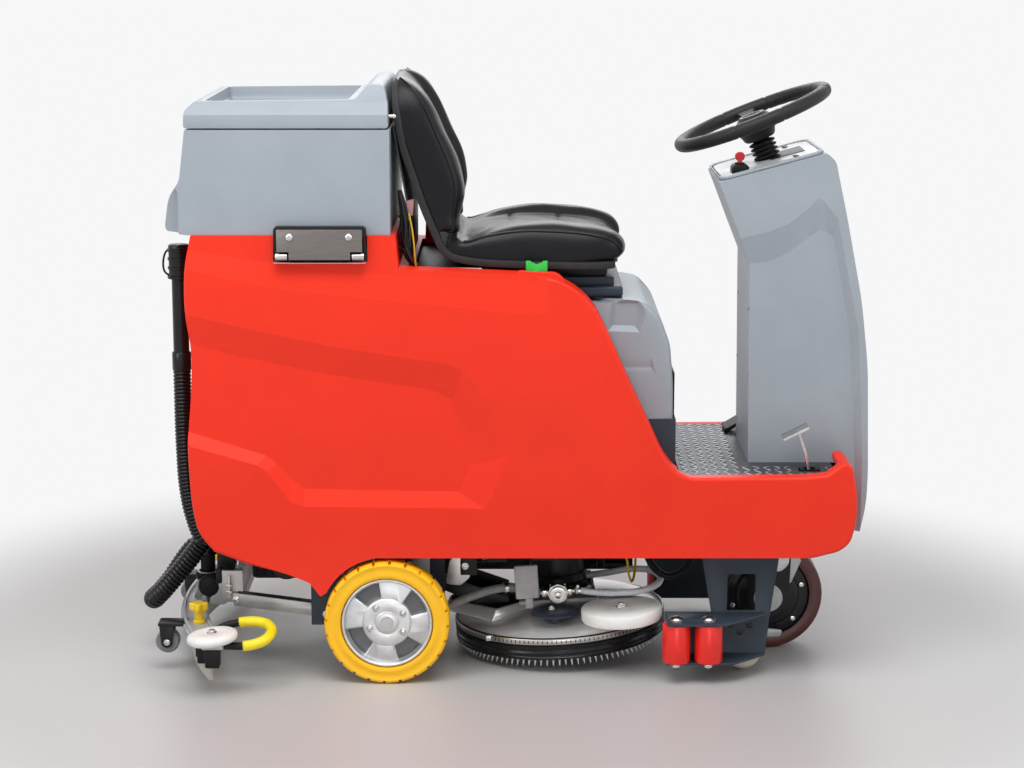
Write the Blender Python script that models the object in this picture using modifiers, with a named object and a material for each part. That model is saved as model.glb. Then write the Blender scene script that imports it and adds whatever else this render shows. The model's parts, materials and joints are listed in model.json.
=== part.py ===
"""Ride-on floor scrubber dryer, standing on its three wheels.

Metres, +X is the front, +Z is up, and Y is across the machine. X is measured from the rear
axle while the pieces are made; the empty called machine then moves the rear axle back, so
that the origin lies on the floor under the middle of the whole machine.
"""

import math

import bmesh
import bpy
from mathutils import Matrix, Vector

# ---------------------------------------------------------------- driving sizes
GAP = 0.0003             # between two pieces that touch
PIN_PLAY = 0.0006        # between a pin and its hole, on the radius
ROUND = 24               # sides of a large round piece
SMALL_ROUND = 12         # sides of a pin

REAR_END = -0.546        # rearmost point, on the suction hose
FRONT_END = 1.008        # front of the column cover

REAR_WHEEL_R = 0.130
REAR_WHEEL_W = 0.053
REAR_RIM_R = 0.095
AXLE_R = 0.0125
ARCH_PLAY = 0.010        # rear tyre to wheel arch

DRIVE_X = 0.813
DRIVE_R = 0.120
DRIVE_W = 0.080
DRIVE_HUB_R = 0.092

SHELL_HALF = 0.280       # outer half width of the red body
REAR_WHEEL_OUT = SHELL_HALF + 0.009      # outer face of a rear tyre
SHELL_WALL = 0.008
SHELL_TOP = 0.935        # the recovery tank rests here
DECK_Z = SHELL_TOP - 0.073               # body top beside the seat
SKIRT_Z = 2 * REAR_WHEEL_R + 0.008       # lower edge of the body, clear of the rear wheels
PLATFORM_Z = 0.437       # top of the foot plate
OPENING_HALF = 0.215     # half width of the opening round the seat box
FOOT_HALF = SHELL_HALF - 0.030           # half width of the opening over the foot plate

HOSE_PORT = ((-0.43, -0.148, 0.20), (-0.330, -0.048, 0.400))   # notch for the two hoses

RAIL_FRONT = 0.915
RAIL_IN = 0.170
RAIL_OUT = 0.210
RAIL_LOW = SKIRT_Z + 0.007
RAIL_TOP = RAIL_LOW + 0.040
TRAY_TOP = RAIL_TOP + 0.005
STEER_PLATE_Z = RAIL_TOP - 0.014         # underside of the plate that carries the drive fork

TANK_FRONT = 0.014
TANK_HALF = SHELL_HALF - 0.018
TANK_TOP = SHELL_TOP + 0.211
TANK_WALL = 0.006
MOTOR_SHELF_Z = SHELL_TOP + 0.057        # shelf in the tank that the vacuum motor stands on
LID_HALF = TANK_HALF - 0.010
TRAY_FLOOR = TANK_TOP + 0.026            # floor of the shallow tray in the lid
HINGE_Y = -SHELL_HALF - 0.003
HINGE_Z = SHELL_TOP - 0.040
HINGE_PIN_R = 0.004
HINGE_X = (-0.216, -0.038)

SEAT_HALF = 0.215
SEAT_PAN_T = 0.006
SEAT_BOX_TOP = DECK_Z - 0.067
SEAT_BOX_HALF = 0.200
SEAT_BOX_FRONT = 0.594

COLUMN_HALF = 0.148
COLUMN_WALL = 0.006
DASH_REAR = (0.684, 1.030)
DASH_FRONT = (0.905, 1.090)
WHEEL_CENTRE = (0.765, 1.152)
WHEEL_TILT = math.radians(21.6)
WHEEL_RIM_R = 0.160
WHEEL_RIM_TUBE = 0.0145
STEER_SHAFT_R = 0.0125
BOOT_R = 0.0295           # foot of the rubber boot, in its hole in the dash
SWITCH_X = 0.732
SWITCH_Y = -0.085
SWITCH_R = 0.005

BRUSH_X = 0.357
BRUSH_R = 0.205
BRUSH_TIP = 0.002        # height of the bristle tips with the deck lowered
PAN_R = 0.222
SKIRT_R = 0.2285
DECK_PIVOT = (0.100, 0.160)
DECK_RAISE = math.radians(3.5)
DECK_ROLLER = (0.487, -0.200)
DECK_ROLLER_R = 0.085

ARM_PIVOT = (-0.130, 0.118)
LEVEL_PIVOT = (-0.345, 0.145)
SQUEEGEE_MID = -0.430    # blade holder at the machine's centre line
SQUEEGEE_END = (-0.350, 0.360)
HEAD_PLATE = (0.098, 0.106)
BLADE_TIP = 0.028
END_ROLLER_R = 0.052
END_ROLLER_TILT = math.radians(6)
CASTER = (-0.468, 0.190, 0.065)
CASTER_R = 0.025
KNOB = (-0.400, 0.200)
PORT_X = -0.405

GUARD_Y = 0.2103         # inner face of a front guard plate
GUARD_T = 0.005
BUMPER_R = 0.029
BUMPER_Y = 0.278
BUMPER_X = (0.600, 0.667)
BUMPER_Z = (0.0455, 0.1290)
ANTI_TIP = (0.747, 0.0425)
ANTI_TIP_R = 0.036

BRAKE = (0.873, -(COLUMN_HALF + FOOT_HALF + 0.002) / 2)
PEDAL_PIVOT_Z = 0.412


# ---------------------------------------------------------------- scene and materials
def clear_scene():
    for old in list(bpy.data.objects):
        bpy.data.objects.remove(old, do_unlink=True)


def new_collection(name):
    made = bpy.data.collections.new(name)
    bpy.context.scene.collection.children.link(made)
    return made


def paint(name, colour, roughness, metallic=0.0):
    mat = bpy.data.materials.new(name)
    mat.use_nodes = True
    shader = mat.node_tree.nodes["Principled BSDF"]
    shader.inputs["Base Color"].default_value = (*colour, 1.0)
    shader.inputs["Roughness"].default_value = roughness
    shader.inputs["Metallic"].default_value = metallic
    mat.diffuse_color = (*colour, 1.0)
    return mat


clear_scene()
PARTS = new_collection("ride_on_scrubber")
CUTTERS = new_collection("cutters")

RED = ((0.90, 0.10, 0.03), 0.45)
GREY = ((0.36, 0.40, 0.45), 0.5)
SLATE = ((0.06, 0.08, 0.11), 0.5)
BLACK = ((0.02, 0.02, 0.02), 0.6)
VINYL = ((0.02, 0.02, 0.025), 0.4)
STEEL = ((0.55, 0.55, 0.54), 0.3, 1.0)
ALUMINIUM = ((0.62, 0.63, 0.65), 0.4, 1.0)
YELLOW = ((0.95, 0.62, 0.02), 0.5)
WHITE = ((0.85, 0.84, 0.80), 0.5)
GREEN = ((0.03, 0.50, 0.12), 0.4)
BROWN = ((0.20, 0.04, 0.03), 0.5)

machine = bpy.data.objects.new("machine", None)
PARTS.objects.link(machine)
machine.location.x = -(REAR_END + FRONT_END) / 2


# ---------------------------------------------------------------- shape helpers
def from_mesh(mesh, name="piece"):
    obj = bpy.data.objects.new(name, mesh)
    CUTTERS.objects.link(obj)
    return obj


def box(low, high):
    """A box from its lowest to its highest corner."""
    size = [b - a for a, b in zip(low, high)]
    middle = [(a + b) / 2 for a, b in zip(low, high)]
    shape = bmesh.new()
    place = Matrix.Translation(middle) @ Matrix.Diagonal((*size, 1.0))
    bmesh.ops.create_cube(shape, size=1.0, matrix=place)
    mesh = bpy.data.meshes.new("box")
    shape.to_mesh(mesh)
    shape.free()
    return from_mesh(mesh)


def rod(start, end, radius, sides=SMALL_ROUND, end_radius=None):
    """A round bar between two points, or a cone when end_radius is given."""
    start, end = Vector(start), Vector(end)
    along = end - start
    turn = along.to_track_quat("Z", "Y").to_matrix().to_4x4()
    place = Matrix.Translation((start + end) / 2) @ turn
    shape = bmesh.new()
    bmesh.ops.create_cone(
        shape, cap_ends=True, segments=sides, radius1=radius,
        radius2=radius if end_radius is None else end_radius,
        depth=along.length, matrix=place)
    mesh = bpy.data.meshes.new("rod")
    shape.to_mesh(mesh)
    shape.free()
    return from_mesh(mesh)


def curve_to_mesh(obj):
    """The mesh of a curve, with its caps welded and its faces pointing out."""
    bpy.context.view_layer.update()
    graph = bpy.context.evaluated_depsgraph_get()
    mesh = bpy.data.meshes.new_from_object(obj.evaluated_get(graph))
    shape = bmesh.new()
    shape.from_mesh(mesh)
    bmesh.ops.remove_doubles(shape, verts=shape.verts, dist=0.00001)
    bmesh.ops.recalc_face_normals(shape, faces=shape.faces)
    shape.to_mesh(mesh)
    shape.free()
    made = from_mesh(mesh)
    made.matrix_world = obj.matrix_world.copy()
    mesh.transform(made.matrix_world)
    made.matrix_world = Matrix.Identity(4)
    bpy.data.objects.remove(obj, do_unlink=True)
    return made


def slab(outline, low, high, plane="XZ"):
    """A flat outline given thickness: across Y for plane XZ, up Z for plane XY."""
    data = bpy.data.curves.new("outline", "CURVE")
    data.dimensions = "2D"
    data.fill_mode = "BOTH"
    data.extrude = (high - low) / 2
    line = data.splines.new("POLY")
    line.points.add(len(outline) - 1)
    for point, (a, b) in zip(line.points, outline):
        point.co = (a, b, 0.0, 1.0)
    line.use_cyclic_u = True
    obj = bpy.data.objects.new("outline", data)
    CUTTERS.objects.link(obj)
    middle = (low + high) / 2
    if plane == "XZ":
        obj.matrix_world = Matrix.Translation((0, middle, 0)) @ Matrix.Rotation(math.pi / 2, 4, "X")
    else:
        obj.matrix_world = Matrix.Translation((0, 0, middle))
    return curve_to_mesh(obj)


def smooth_route(points, steps):
    """Points on a Catmull-Rom curve through the given ones."""
    route = [Vector(p) for p in points]
    ends = [2 * route[0] - route[1], *route, 2 * route[-1] - route[-2]]
    made = []
    for a, b, c, d in zip(ends, ends[1:], ends[2:], ends[3:]):
        for i in range(steps):
            t = i / steps
            made.append(0.5 * (2 * b + (c - a) * t + (2 * a - 5 * b + 4 * c - d) * t ** 2
                               + (3 * b - a - 3 * c + d) * t ** 3))
    return [*made, route[-1]]


def tube(points, radius, sides=2, steps=3):
    """A bent bar or hose along a smooth route."""
    data = bpy.data.curves.new("route", "CURVE")
    data.dimensions = "3D"
    data.bevel_depth = radius
    data.bevel_resolution = sides
    data.use_fill_caps = True
    route = smooth_route(points, steps)
    line = data.splines.new("POLY")
    line.points.add(len(route) - 1)
    for point, place in zip(line.points, route):
        point.co = (*place, 1.0)
    obj = bpy.data.objects.new("route", data)
    CUTTERS.objects.link(obj)
    return curve_to_mesh(obj)


def turned(profile, centre, axis="Z", sides=ROUND):
    """A round piece from a closed profile of (radius, height), turned about an axis."""
    mesh = bpy.data.meshes.new("profile")
    mesh.from_pydata([(r, 0, h) for r, h in profile],
                     [(i, (i + 1) % len(profile)) for i in range(len(profile))], [])
    obj = from_mesh(mesh)
    screw = obj.modifiers.new("turn", "SCREW")
    screw.steps = screw.render_steps = sides
    screw.use_merge_vertices = True
    screw.merge_threshold = 0.0001
    if axis == "Y":
        turn = Matrix.Rotation(-math.pi / 2, 4, "X")
    elif axis == "Z":
        turn = Matrix.Identity(4)
    else:
        turn = Vector(axis).to_track_quat("Z", "Y").to_matrix().to_4x4()
    settle(obj)
    return stand(obj, Matrix.Translation(centre) @ turn)


def settle(obj):
    """Takes an object's modifiers into its mesh."""
    bpy.context.view_layer.update()
    graph = bpy.context.evaluated_depsgraph_get()
    mesh = bpy.data.meshes.new_from_object(obj.evaluated_get(graph))
    obj.modifiers.clear()
    obj.data = mesh


def stand(obj, matrix):
    """Takes a place and a turn into an object's mesh."""
    obj.data.transform(matrix)
    return obj


def ring(outer, inner, low, high):
    """A profile for a plain ring; with no inner radius it is a disc."""
    return [(outer, high), (outer, low), (inner, low), (inner, high)]


def combine(base, others, operation):
    for other in others:
        step = base.modifiers.new(operation.lower(), "BOOLEAN")
        step.operation = operation
        step.object = other
    settle(base)
    for other in others:
        bpy.data.objects.remove(other, do_unlink=True)
    return base


def joined(base, *others):
    return combine(base, others, "UNION")


def cut(base, *others):
    return combine(base, others, "DIFFERENCE")


def piece(obj, name, look, pivot=(0, 0, 0), holder=None):
    """Names a finished piece, paints it and puts its origin on its joint's axis."""
    obj.name = name
    obj.data.name = name
    CUTTERS.objects.unlink(obj)
    PARTS.objects.link(obj)
    obj.data.transform(Matrix.Translation(-Vector(pivot)))
    obj.location = pivot
    obj.parent = holder or machine
    obj.data.materials.append(paint(name, *look))
    return obj


def inset(outline, depth):
    """The closed outline moved inward by depth; it runs clockwise in its plane."""
    made = []
    count = len(outline)
    for i in range(count):
        before = Vector(outline[i]) - Vector(outline[i - 1])
        after = Vector(outline[(i + 1) % count]) - Vector(outline[i])
        side_a = Vector((before.y, -before.x)).normalized()
        side_b = Vector((after.y, -after.x)).normalized()
        half = (side_a + side_b).normalized()
        made.append(tuple(Vector(outline[i]) + half * (depth / max(0.3, half.dot(side_a)))))
    return made


def strip(path, thickness):
    """A closed outline that follows a path with a constant thickness on its left side."""
    made = []
    for i, point in enumerate(path):
        before = Vector(point) - Vector(path[max(i - 1, 0)])
        after = Vector(path[min(i + 1, len(path) - 1)]) - Vector(point)
        along = (before.normalized() + after.normalized()).normalized()
        made.append((point[0] - along.y * thickness, point[1] + along.x * thickness))
    return [*path, *reversed(made)]


def arc(centre, radius, start, end, steps):
    """Points on an arc, with the angles in degrees."""
    angles = [math.radians(start + (end - start) * i / steps) for i in range(steps + 1)]
    return [(centre[0] + radius * math.cos(a), centre[1] + radius * math.sin(a)) for a in angles]


def both_sides(make):
    """Calls make once for the right side (-1) and once for the left (+1)."""
    for side, word in ((-1, "right"), (1, "left")):
        make(side, word)


def span(side, near, far):
    """The two limits across the machine, in rising order."""
    return tuple(sorted((side * near, side * far)))


# ---------------------------------------------------------------- body and frame
ARCH_R = REAR_WHEEL_R + ARCH_PLAY
REAR_CONTOUR = [(-0.399, 0.168), (-0.405, 0.360), (-0.395, 0.498), (-0.391, 0.648),
                (-0.404, 0.774), (-0.402, 0.900)]    # x, and share of the way up the body
SHELL_UPPER = [
    (-0.355, SKIRT_Z + 0.013), (-0.387, SKIRT_Z + 0.051),
    *[(x, SKIRT_Z + share * (SHELL_TOP - SKIRT_Z)) for x, share in REAR_CONTOUR],
    (-0.388, SHELL_TOP),
    (TANK_FRONT + 0.010, SHELL_TOP), (0.030, DECK_Z + 0.006), (0.285, DECK_Z - 0.006),
    (0.345, DECK_Z - 0.012), (0.379, DECK_Z - 0.028), (0.404, DECK_Z - 0.047),
    (0.429, DECK_Z - 0.075), (0.457, DECK_Z - 0.132),
    (0.489, (DECK_Z + PLATFORM_Z) / 2 + 0.0075), (0.537, PLATFORM_Z + 0.118),
    (0.569, PLATFORM_Z + 0.047), (0.594, PLATFORM_Z + 0.013), (0.620, PLATFORM_Z),
    (0.860, PLATFORM_Z + 0.002), (0.905, PLATFORM_Z + 0.007), (0.940, PLATFORM_Z + 0.033),
    (0.957, PLATFORM_Z + 0.023), (0.968, 0.400), (0.968, SKIRT_Z + 0.077),
    (0.957, SKIRT_Z + 0.032), (0.935, SKIRT_Z + 0.013),
]


def body_shell():
    arch = arc((0, REAR_WHEEL_R), ARCH_R, 100, 153, 6)
    end_x, end_z = arch[-1]
    lower = [(0.885, SKIRT_Z), *arch, (end_x - 0.012, end_z - 0.008),
             (end_x - 0.034, end_z + 0.021), (end_x - 0.077, end_z + 0.039),
             (end_x - 0.159, end_z + 0.059)]
    shell = slab(SHELL_UPPER + lower, -SHELL_HALF, SHELL_HALF)
    hollow = [*SHELL_UPPER, (0.935, 0.05), (-0.355, 0.05)]
    inner = SHELL_HALF - SHELL_WALL
    cut(shell,
        slab(inset(hollow, SHELL_WALL), -inner, inner),
        box((-0.330, -OPENING_HALF, SHELL_TOP - 0.035),
            (-0.010, OPENING_HALF, SHELL_TOP + 0.065)),
        box((0.060, -OPENING_HALF, 0.40), (0.604, OPENING_HALF, SHELL_TOP + 0.065)),
        box((0.600, -FOOT_HALF, 0.40), (0.930, FOOT_HALF, 0.60)),
        box((0.880, -COLUMN_HALF - 0.008, PLATFORM_Z - 0.012), (1.00, COLUMN_HALF + 0.008, 0.60)),
        box(*HOSE_PORT),
        box((HINGE_X[0] - 0.006, HINGE_Y - 0.017, HINGE_Z - 0.023),
            (HINGE_X[1] + 0.006, -SHELL_HALF + 0.025, HINGE_Z + 0.065)))
    piece(shell, "body_shell", RED)


def chassis_frame():
    inner = SHELL_HALF - SHELL_WALL - GAP
    frame = box((-0.32, -RAIL_IN - 0.01, RAIL_TOP - 0.004), (0.600, RAIL_IN + 0.01, TRAY_TOP))
    adds = []
    for side in (-1, 1):
        y0, y1 = span(side, RAIL_IN, RAIL_OUT)
        adds.append(box((-0.33, y0, RAIL_LOW), (RAIL_FRONT, y1, RAIL_TOP)))
        y0, y1 = span(side, RAIL_IN + 0.015, RAIL_IN + 0.027)
        adds.append(box((-0.030, y0, 0.100), (0.030, y1, RAIL_LOW + 0.01)))
        y0, y1 = span(side, RAIL_IN + 0.002, RAIL_IN + 0.010)
        adds.append(box((-0.165, y0, 0.095), (-0.100, y1, RAIL_LOW + 0.01)))
        y0, y1 = span(side, 0.118, 0.125)
        adds.append(box((0.084, y0, 0.145), (0.116, y1, RAIL_LOW + 0.02)))
    for x in (-0.310, 0.020, 0.620, 0.905):
        adds.append(box((x - 0.015, -inner, RAIL_LOW + 0.008),
                        (x + 0.015, inner, RAIL_TOP - 0.002)))
    adds.append(box((0.085, -RAIL_IN - 0.01, RAIL_LOW + 0.008),
                    (0.115, RAIL_IN + 0.01, RAIL_TOP - 0.001)))
    adds.append(box((0.720, -RAIL_IN - 0.01, STEER_PLATE_Z),
                    (0.905, RAIL_IN + 0.01, RAIL_TOP - 0.003)))
    tube_top = (RAIL_TOP + PLATFORM_Z) / 2 + 0.024
    adds.append(rod((DRIVE_X, 0, STEER_PLATE_Z + 0.001), (DRIVE_X, 0, tube_top), 0.045, ROUND))
    adds.append(box((0.885, -0.030, RAIL_TOP - 0.011), (0.910, 0.030, 0.985)))
    adds.append(box((0.802, -0.030, 0.950), (0.895, 0.030, 0.984)))
    joined(frame, *adds)
    lean = Vector((math.sin(WHEEL_TILT), 0, -math.cos(WHEEL_TILT)))
    centre = Vector((WHEEL_CENTRE[0], 0, WHEEL_CENTRE[1]))
    cut(frame,
        rod((DRIVE_X, 0, RAIL_LOW), (DRIVE_X, 0, RAIL_TOP + 0.135), 0.031, ROUND),
        rod(centre, centre + lean * 0.3, STEER_SHAFT_R + PIN_PLAY, ROUND),
        rod((0, -0.3, REAR_WHEEL_R), (0, 0.3, REAR_WHEEL_R), AXLE_R + PIN_PLAY),
        rod((ARM_PIVOT[0], -0.3, ARM_PIVOT[1]), (ARM_PIVOT[0], 0.3, ARM_PIVOT[1]),
            0.006 + PIN_PLAY),
        rod((DECK_PIVOT[0], -0.2, DECK_PIVOT[1]), (DECK_PIVOT[0], 0.2, DECK_PIVOT[1]),
            0.006 + PIN_PLAY))
    piece(frame, "chassis_frame", SLATE)


def foot_plate():
    wide = FOOT_HALF - 0.0005
    plate = box((0.6045, -wide, PLATFORM_Z - 0.004), (0.9295, wide, PLATFORM_Z))
    adds = []
    for side in (-1, 1):
        y0, y1 = span(side, 0.185, 0.190)
        adds.append(box((0.640, y0, RAIL_TOP + GAP), (0.850, y1, PLATFORM_Z - 0.002)))
    for y in (BRAKE[1] - 0.025, BRAKE[1] + 0.021):
        adds.append(box((BRAKE[0] - 0.012, y, PEDAL_PIVOT_Z - 0.012),
                        (BRAKE[0] + 0.012, y + 0.004, PLATFORM_Z - 0.002)))
    joined(plate, *adds)
    cut(plate,
        box((BRAKE[0] - 0.018, BRAKE[1] - 0.016, PLATFORM_Z - 0.02),
            (BRAKE[0] + 0.026, BRAKE[1] + 0.016, PLATFORM_Z + 0.02)),
        box((0.770, -COLUMN_HALF + 0.028, PLATFORM_Z - 0.02),
            (0.94, COLUMN_HALF - 0.028, PLATFORM_Z + 0.02)),
        rod((BRAKE[0], BRAKE[1] - 0.04, PEDAL_PIVOT_Z),
            (BRAKE[0], BRAKE[1] + 0.04, PEDAL_PIVOT_Z), 0.005 + PIN_PLAY))
    piece(plate, "foot_plate", ALUMINIUM)


def seat_box():
    low = TRAY_TOP + GAP
    outline = [(0.070, low), (0.070, SEAT_BOX_TOP), (0.500, SEAT_BOX_TOP),
               (0.535, SEAT_BOX_TOP - 0.007), (0.565, SEAT_BOX_TOP - 0.040),
               (0.585, SEAT_BOX_TOP - 0.095), (SEAT_BOX_FRONT - 0.002, 0.620),
               (SEAT_BOX_FRONT, low)]
    shell = slab(outline, -SEAT_BOX_HALF, SEAT_BOX_HALF)
    inner = [*outline[1:-1], (SEAT_BOX_FRONT, 0.25), (0.070, 0.25)]
    cut(shell, slab(inset(inner, 0.005), -SEAT_BOX_HALF + 0.005, SEAT_BOX_HALF - 0.005))
    piece(shell, "seat_box", GREY)
    front = SEAT_BOX_FRONT + GAP
    piece(box((front, -0.190, PLATFORM_Z - 0.060), (front + 0.004, 0.190, 0.545)),
          "kick_panel", SLATE)


def rear_panel():
    foot = DECK_Z + 0.006
    outline = [(0.0165, TANK_TOP + 0.004), (0.0205, TANK_TOP + 0.004), (0.052, SHELL_TOP + 0.035),
               (0.052, foot), (0.048, foot), (0.048, SHELL_TOP + 0.034)]
    panel = slab(outline, -0.200, 0.200)
    piece(panel, "rear_panel", SLATE)


def battery_pack():
    low = TRAY_TOP + GAP
    pack = box((-0.305, -0.176, low), (0.045, 0.176, low + 0.250))
    joined(pack, *[rod((x, y, low + 0.24), (x, y, low + 0.268), 0.010)
                   for x in (-0.27, -0.16, -0.09, 0.01) for y in (-0.12, 0.12)])
    piece(pack, "battery_pack", BLACK)


# ---------------------------------------------------------------- recovery tank and lid
def recovery_tank():
    low = SHELL_TOP + GAP
    lobe = [(-0.429, SHELL_TOP + 0.083), (-0.409, SHELL_TOP + 0.107)]
    outline = [(-0.396, low), (-0.440, low + 0.006), (-0.443, low + 0.016), *lobe,
               (-0.396, TANK_TOP), (TANK_FRONT, TANK_TOP), (TANK_FRONT, low)]
    tank = slab(outline, -TANK_HALF, TANK_HALF)
    partition = -0.120
    above = TANK_TOP + 0.054
    inner = [(-0.394, low), (-0.436, low + 0.010), *lobe,
             (-0.396, above), (partition - TANK_WALL, above), (partition - TANK_WALL, low)]
    half = TANK_HALF - TANK_WALL
    front = TANK_FRONT - TANK_WALL
    cut(tank,
        slab(inset(inner, TANK_WALL), -half, half),
        box((partition, -half, MOTOR_SHELF_Z), (front, half, above)),
        box((partition, -half, low - 0.04), (front, half, MOTOR_SHELF_Z - 0.007)))
    pivot = (0, HINGE_Y, HINGE_Z)
    piece(tank, "recovery_tank", GREY, pivot)
    shelf = MOTOR_SHELF_Z
    motor = rod((-0.055, 0, shelf + GAP), (-0.055, 0, shelf + 0.128), 0.058, 24)
    joined(motor, rod((-0.055, 0, shelf + 0.004), (-0.055, 0, shelf + 0.038), 0.061, 24),
           rod((-0.055, 0.03, shelf + 0.098), (-0.055, 0.140, shelf + 0.098), 0.022))
    piece(motor, "vacuum_motor", BLACK, pivot)


def tank_hinge():
    """The steel bracket in the body's side and the leaf that carries the tank."""
    x0, x1 = HINGE_X
    back = -SHELL_HALF + SHELL_WALL + GAP
    bracket = box((x0 - 0.022, back, HINGE_Z - 0.033), (x1 + 0.022, back + 0.006, SHELL_TOP - 0.009))
    adds = [rod((x0 - 0.002, HINGE_Y, HINGE_Z), (x1 + 0.002, HINGE_Y, HINGE_Z), HINGE_PIN_R)]
    for a, b in ((x0, x0 + 0.026), (x1 - 0.026, x1)):
        adds.append(rod((a, HINGE_Y, HINGE_Z), (b, HINGE_Y, HINGE_Z), 0.008))
        adds.append(box((a + 0.001, HINGE_Y + 0.002, HINGE_Z - 0.0055),
                        (b - 0.001, back + 0.003, HINGE_Z + 0.004)))
    joined(bracket, *adds)
    piece(bracket, "hinge_bracket", BLACK)

    leaf_y = HINGE_Y - 0.0035
    leaf = box((x0 + 0.003, leaf_y, HINGE_Z + 0.0105), (x1 - 0.003, leaf_y + 0.003, HINGE_Z + 0.066))
    joined(leaf,
           box((x0 + 0.010, leaf_y + 0.002, HINGE_Z + 0.0455),
               (x1 - 0.010, -TANK_HALF - GAP, HINGE_Z + 0.063)),
           box((x0 + 0.030, leaf_y, HINGE_Z), (x1 - 0.030, leaf_y + 0.003, HINGE_Z + 0.012)),
           rod((x0 + 0.027, HINGE_Y, HINGE_Z), (x1 - 0.027, HINGE_Y, HINGE_Z), 0.0085))
    cut(leaf, rod((x0 - 0.01, HINGE_Y, HINGE_Z), (x1 + 0.01, HINGE_Y, HINGE_Z),
                  HINGE_PIN_R + PIN_PLAY))
    piece(leaf, "hinge_leaf", STEEL, (0, HINGE_Y, HINGE_Z))


def tank_lid():
    low = TANK_TOP + 0.003
    rim = TRAY_FLOOR + 0.030
    outline = [(-0.399, low), (-0.397, rim - 0.024), (-0.377, rim - 0.001), (-0.067, rim + 0.002),
               (-0.040, rim + 0.019), (-0.025, rim + 0.032), (-0.004, rim + 0.032),
               (0.006, rim + 0.016), (0.009, low)]
    lid = slab(outline, -LID_HALF, LID_HALF)
    joined(lid, box((-0.380, -LID_HALF + 0.014, TANK_TOP + GAP),
                    (-0.008, LID_HALF - 0.014, TANK_TOP + 0.014)))
    cut(lid,
        box((-0.360, -LID_HALF + 0.037, TRAY_FLOOR), (-0.070, LID_HALF - 0.037, rim + 0.098)),
        box((-0.374, -LID_HALF + 0.020, TANK_TOP - 0.046),
            (-0.014, LID_HALF - 0.020, TRAY_FLOOR - 0.008)))
    hinge = (0, LID_HALF, low)
    piece(lid, "tank_lid", GREY, hinge)


# ---------------------------------------------------------------- seat
PAN_Z = SEAT_BOX_TOP + 0.072       # underside of the seat shell at its front edge
SEAT_PAN = [(0.016, PAN_Z + 0.376), (0.024, PAN_Z + 0.296), (0.052, PAN_Z + 0.210),
            (0.080, PAN_Z + 0.127), (0.106, PAN_Z + 0.064), (0.122, PAN_Z + 0.033),
            (0.152, PAN_Z + 0.016), (0.239, PAN_Z + 0.006), (0.477, PAN_Z)]


def seat():
    pan_top = SEAT_BOX_TOP + 0.078
    pan = slab(strip(SEAT_PAN, SEAT_PAN_T), -SEAT_HALF, SEAT_HALF)
    slider = SEAT_BOX_TOP + 0.0405
    joined(pan, box((0.200, -0.160, slider), (0.456, 0.160, pan_top)))
    piece(pan, "seat_shell", BLACK)

    seat_line = strip(SEAT_PAN, SEAT_PAN_T + GAP * 2)
    upper = list(reversed(seat_line[len(SEAT_PAN):]))
    rise = [(0.142, 0.067), (0.139, 0.095), (0.152, 0.118), (0.163, 0.151), (0.153, 0.198),
            (0.127, 0.259), (0.097, 0.323), (0.068, 0.361), (0.036, 0.3785)]
    back = [*upper[:5], *[(x, PAN_Z + z) for x, z in rise]]
    piece(slab(back, -SEAT_HALF + 0.004, SEAT_HALF - 0.004), "seat_back", VINYL)
    crown = [(0.486, 0.023), (0.470, 0.056), (0.400, 0.077), (0.300, 0.084), (0.225, 0.071),
             (0.172, 0.049)]
    base = [(0.1465, PAN_Z + 0.058), *upper[5:], *[(x, PAN_Z + z) for x, z in crown]]
    piece(slab(base, -SEAT_HALF + 0.004, SEAT_HALF - 0.004), "seat_cushion", VINYL)

    top = SEAT_BOX_TOP + GAP
    rail = box((0.170, -0.170, top), (0.488, 0.170, top + 0.022))
    for side in (-1, 1):
        y0, y1 = span(side, 0.120, 0.155)
        joined(rail, box((0.180, y0, top + 0.020), (0.470, y1, slider - GAP)))
    piece(rail, "seat_rail", SLATE)


# ---------------------------------------------------------------- steering column
LEAN = Vector((-math.sin(WHEEL_TILT), 0, math.cos(WHEEL_TILT)))
WHEEL_AT = Vector((WHEEL_CENTRE[0], 0, WHEEL_CENTRE[1]))


def dash_height(x):
    slope = (DASH_FRONT[1] - DASH_REAR[1]) / (DASH_FRONT[0] - DASH_REAR[0])
    return DASH_REAR[1] + (x - DASH_REAR[0]) * slope


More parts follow.
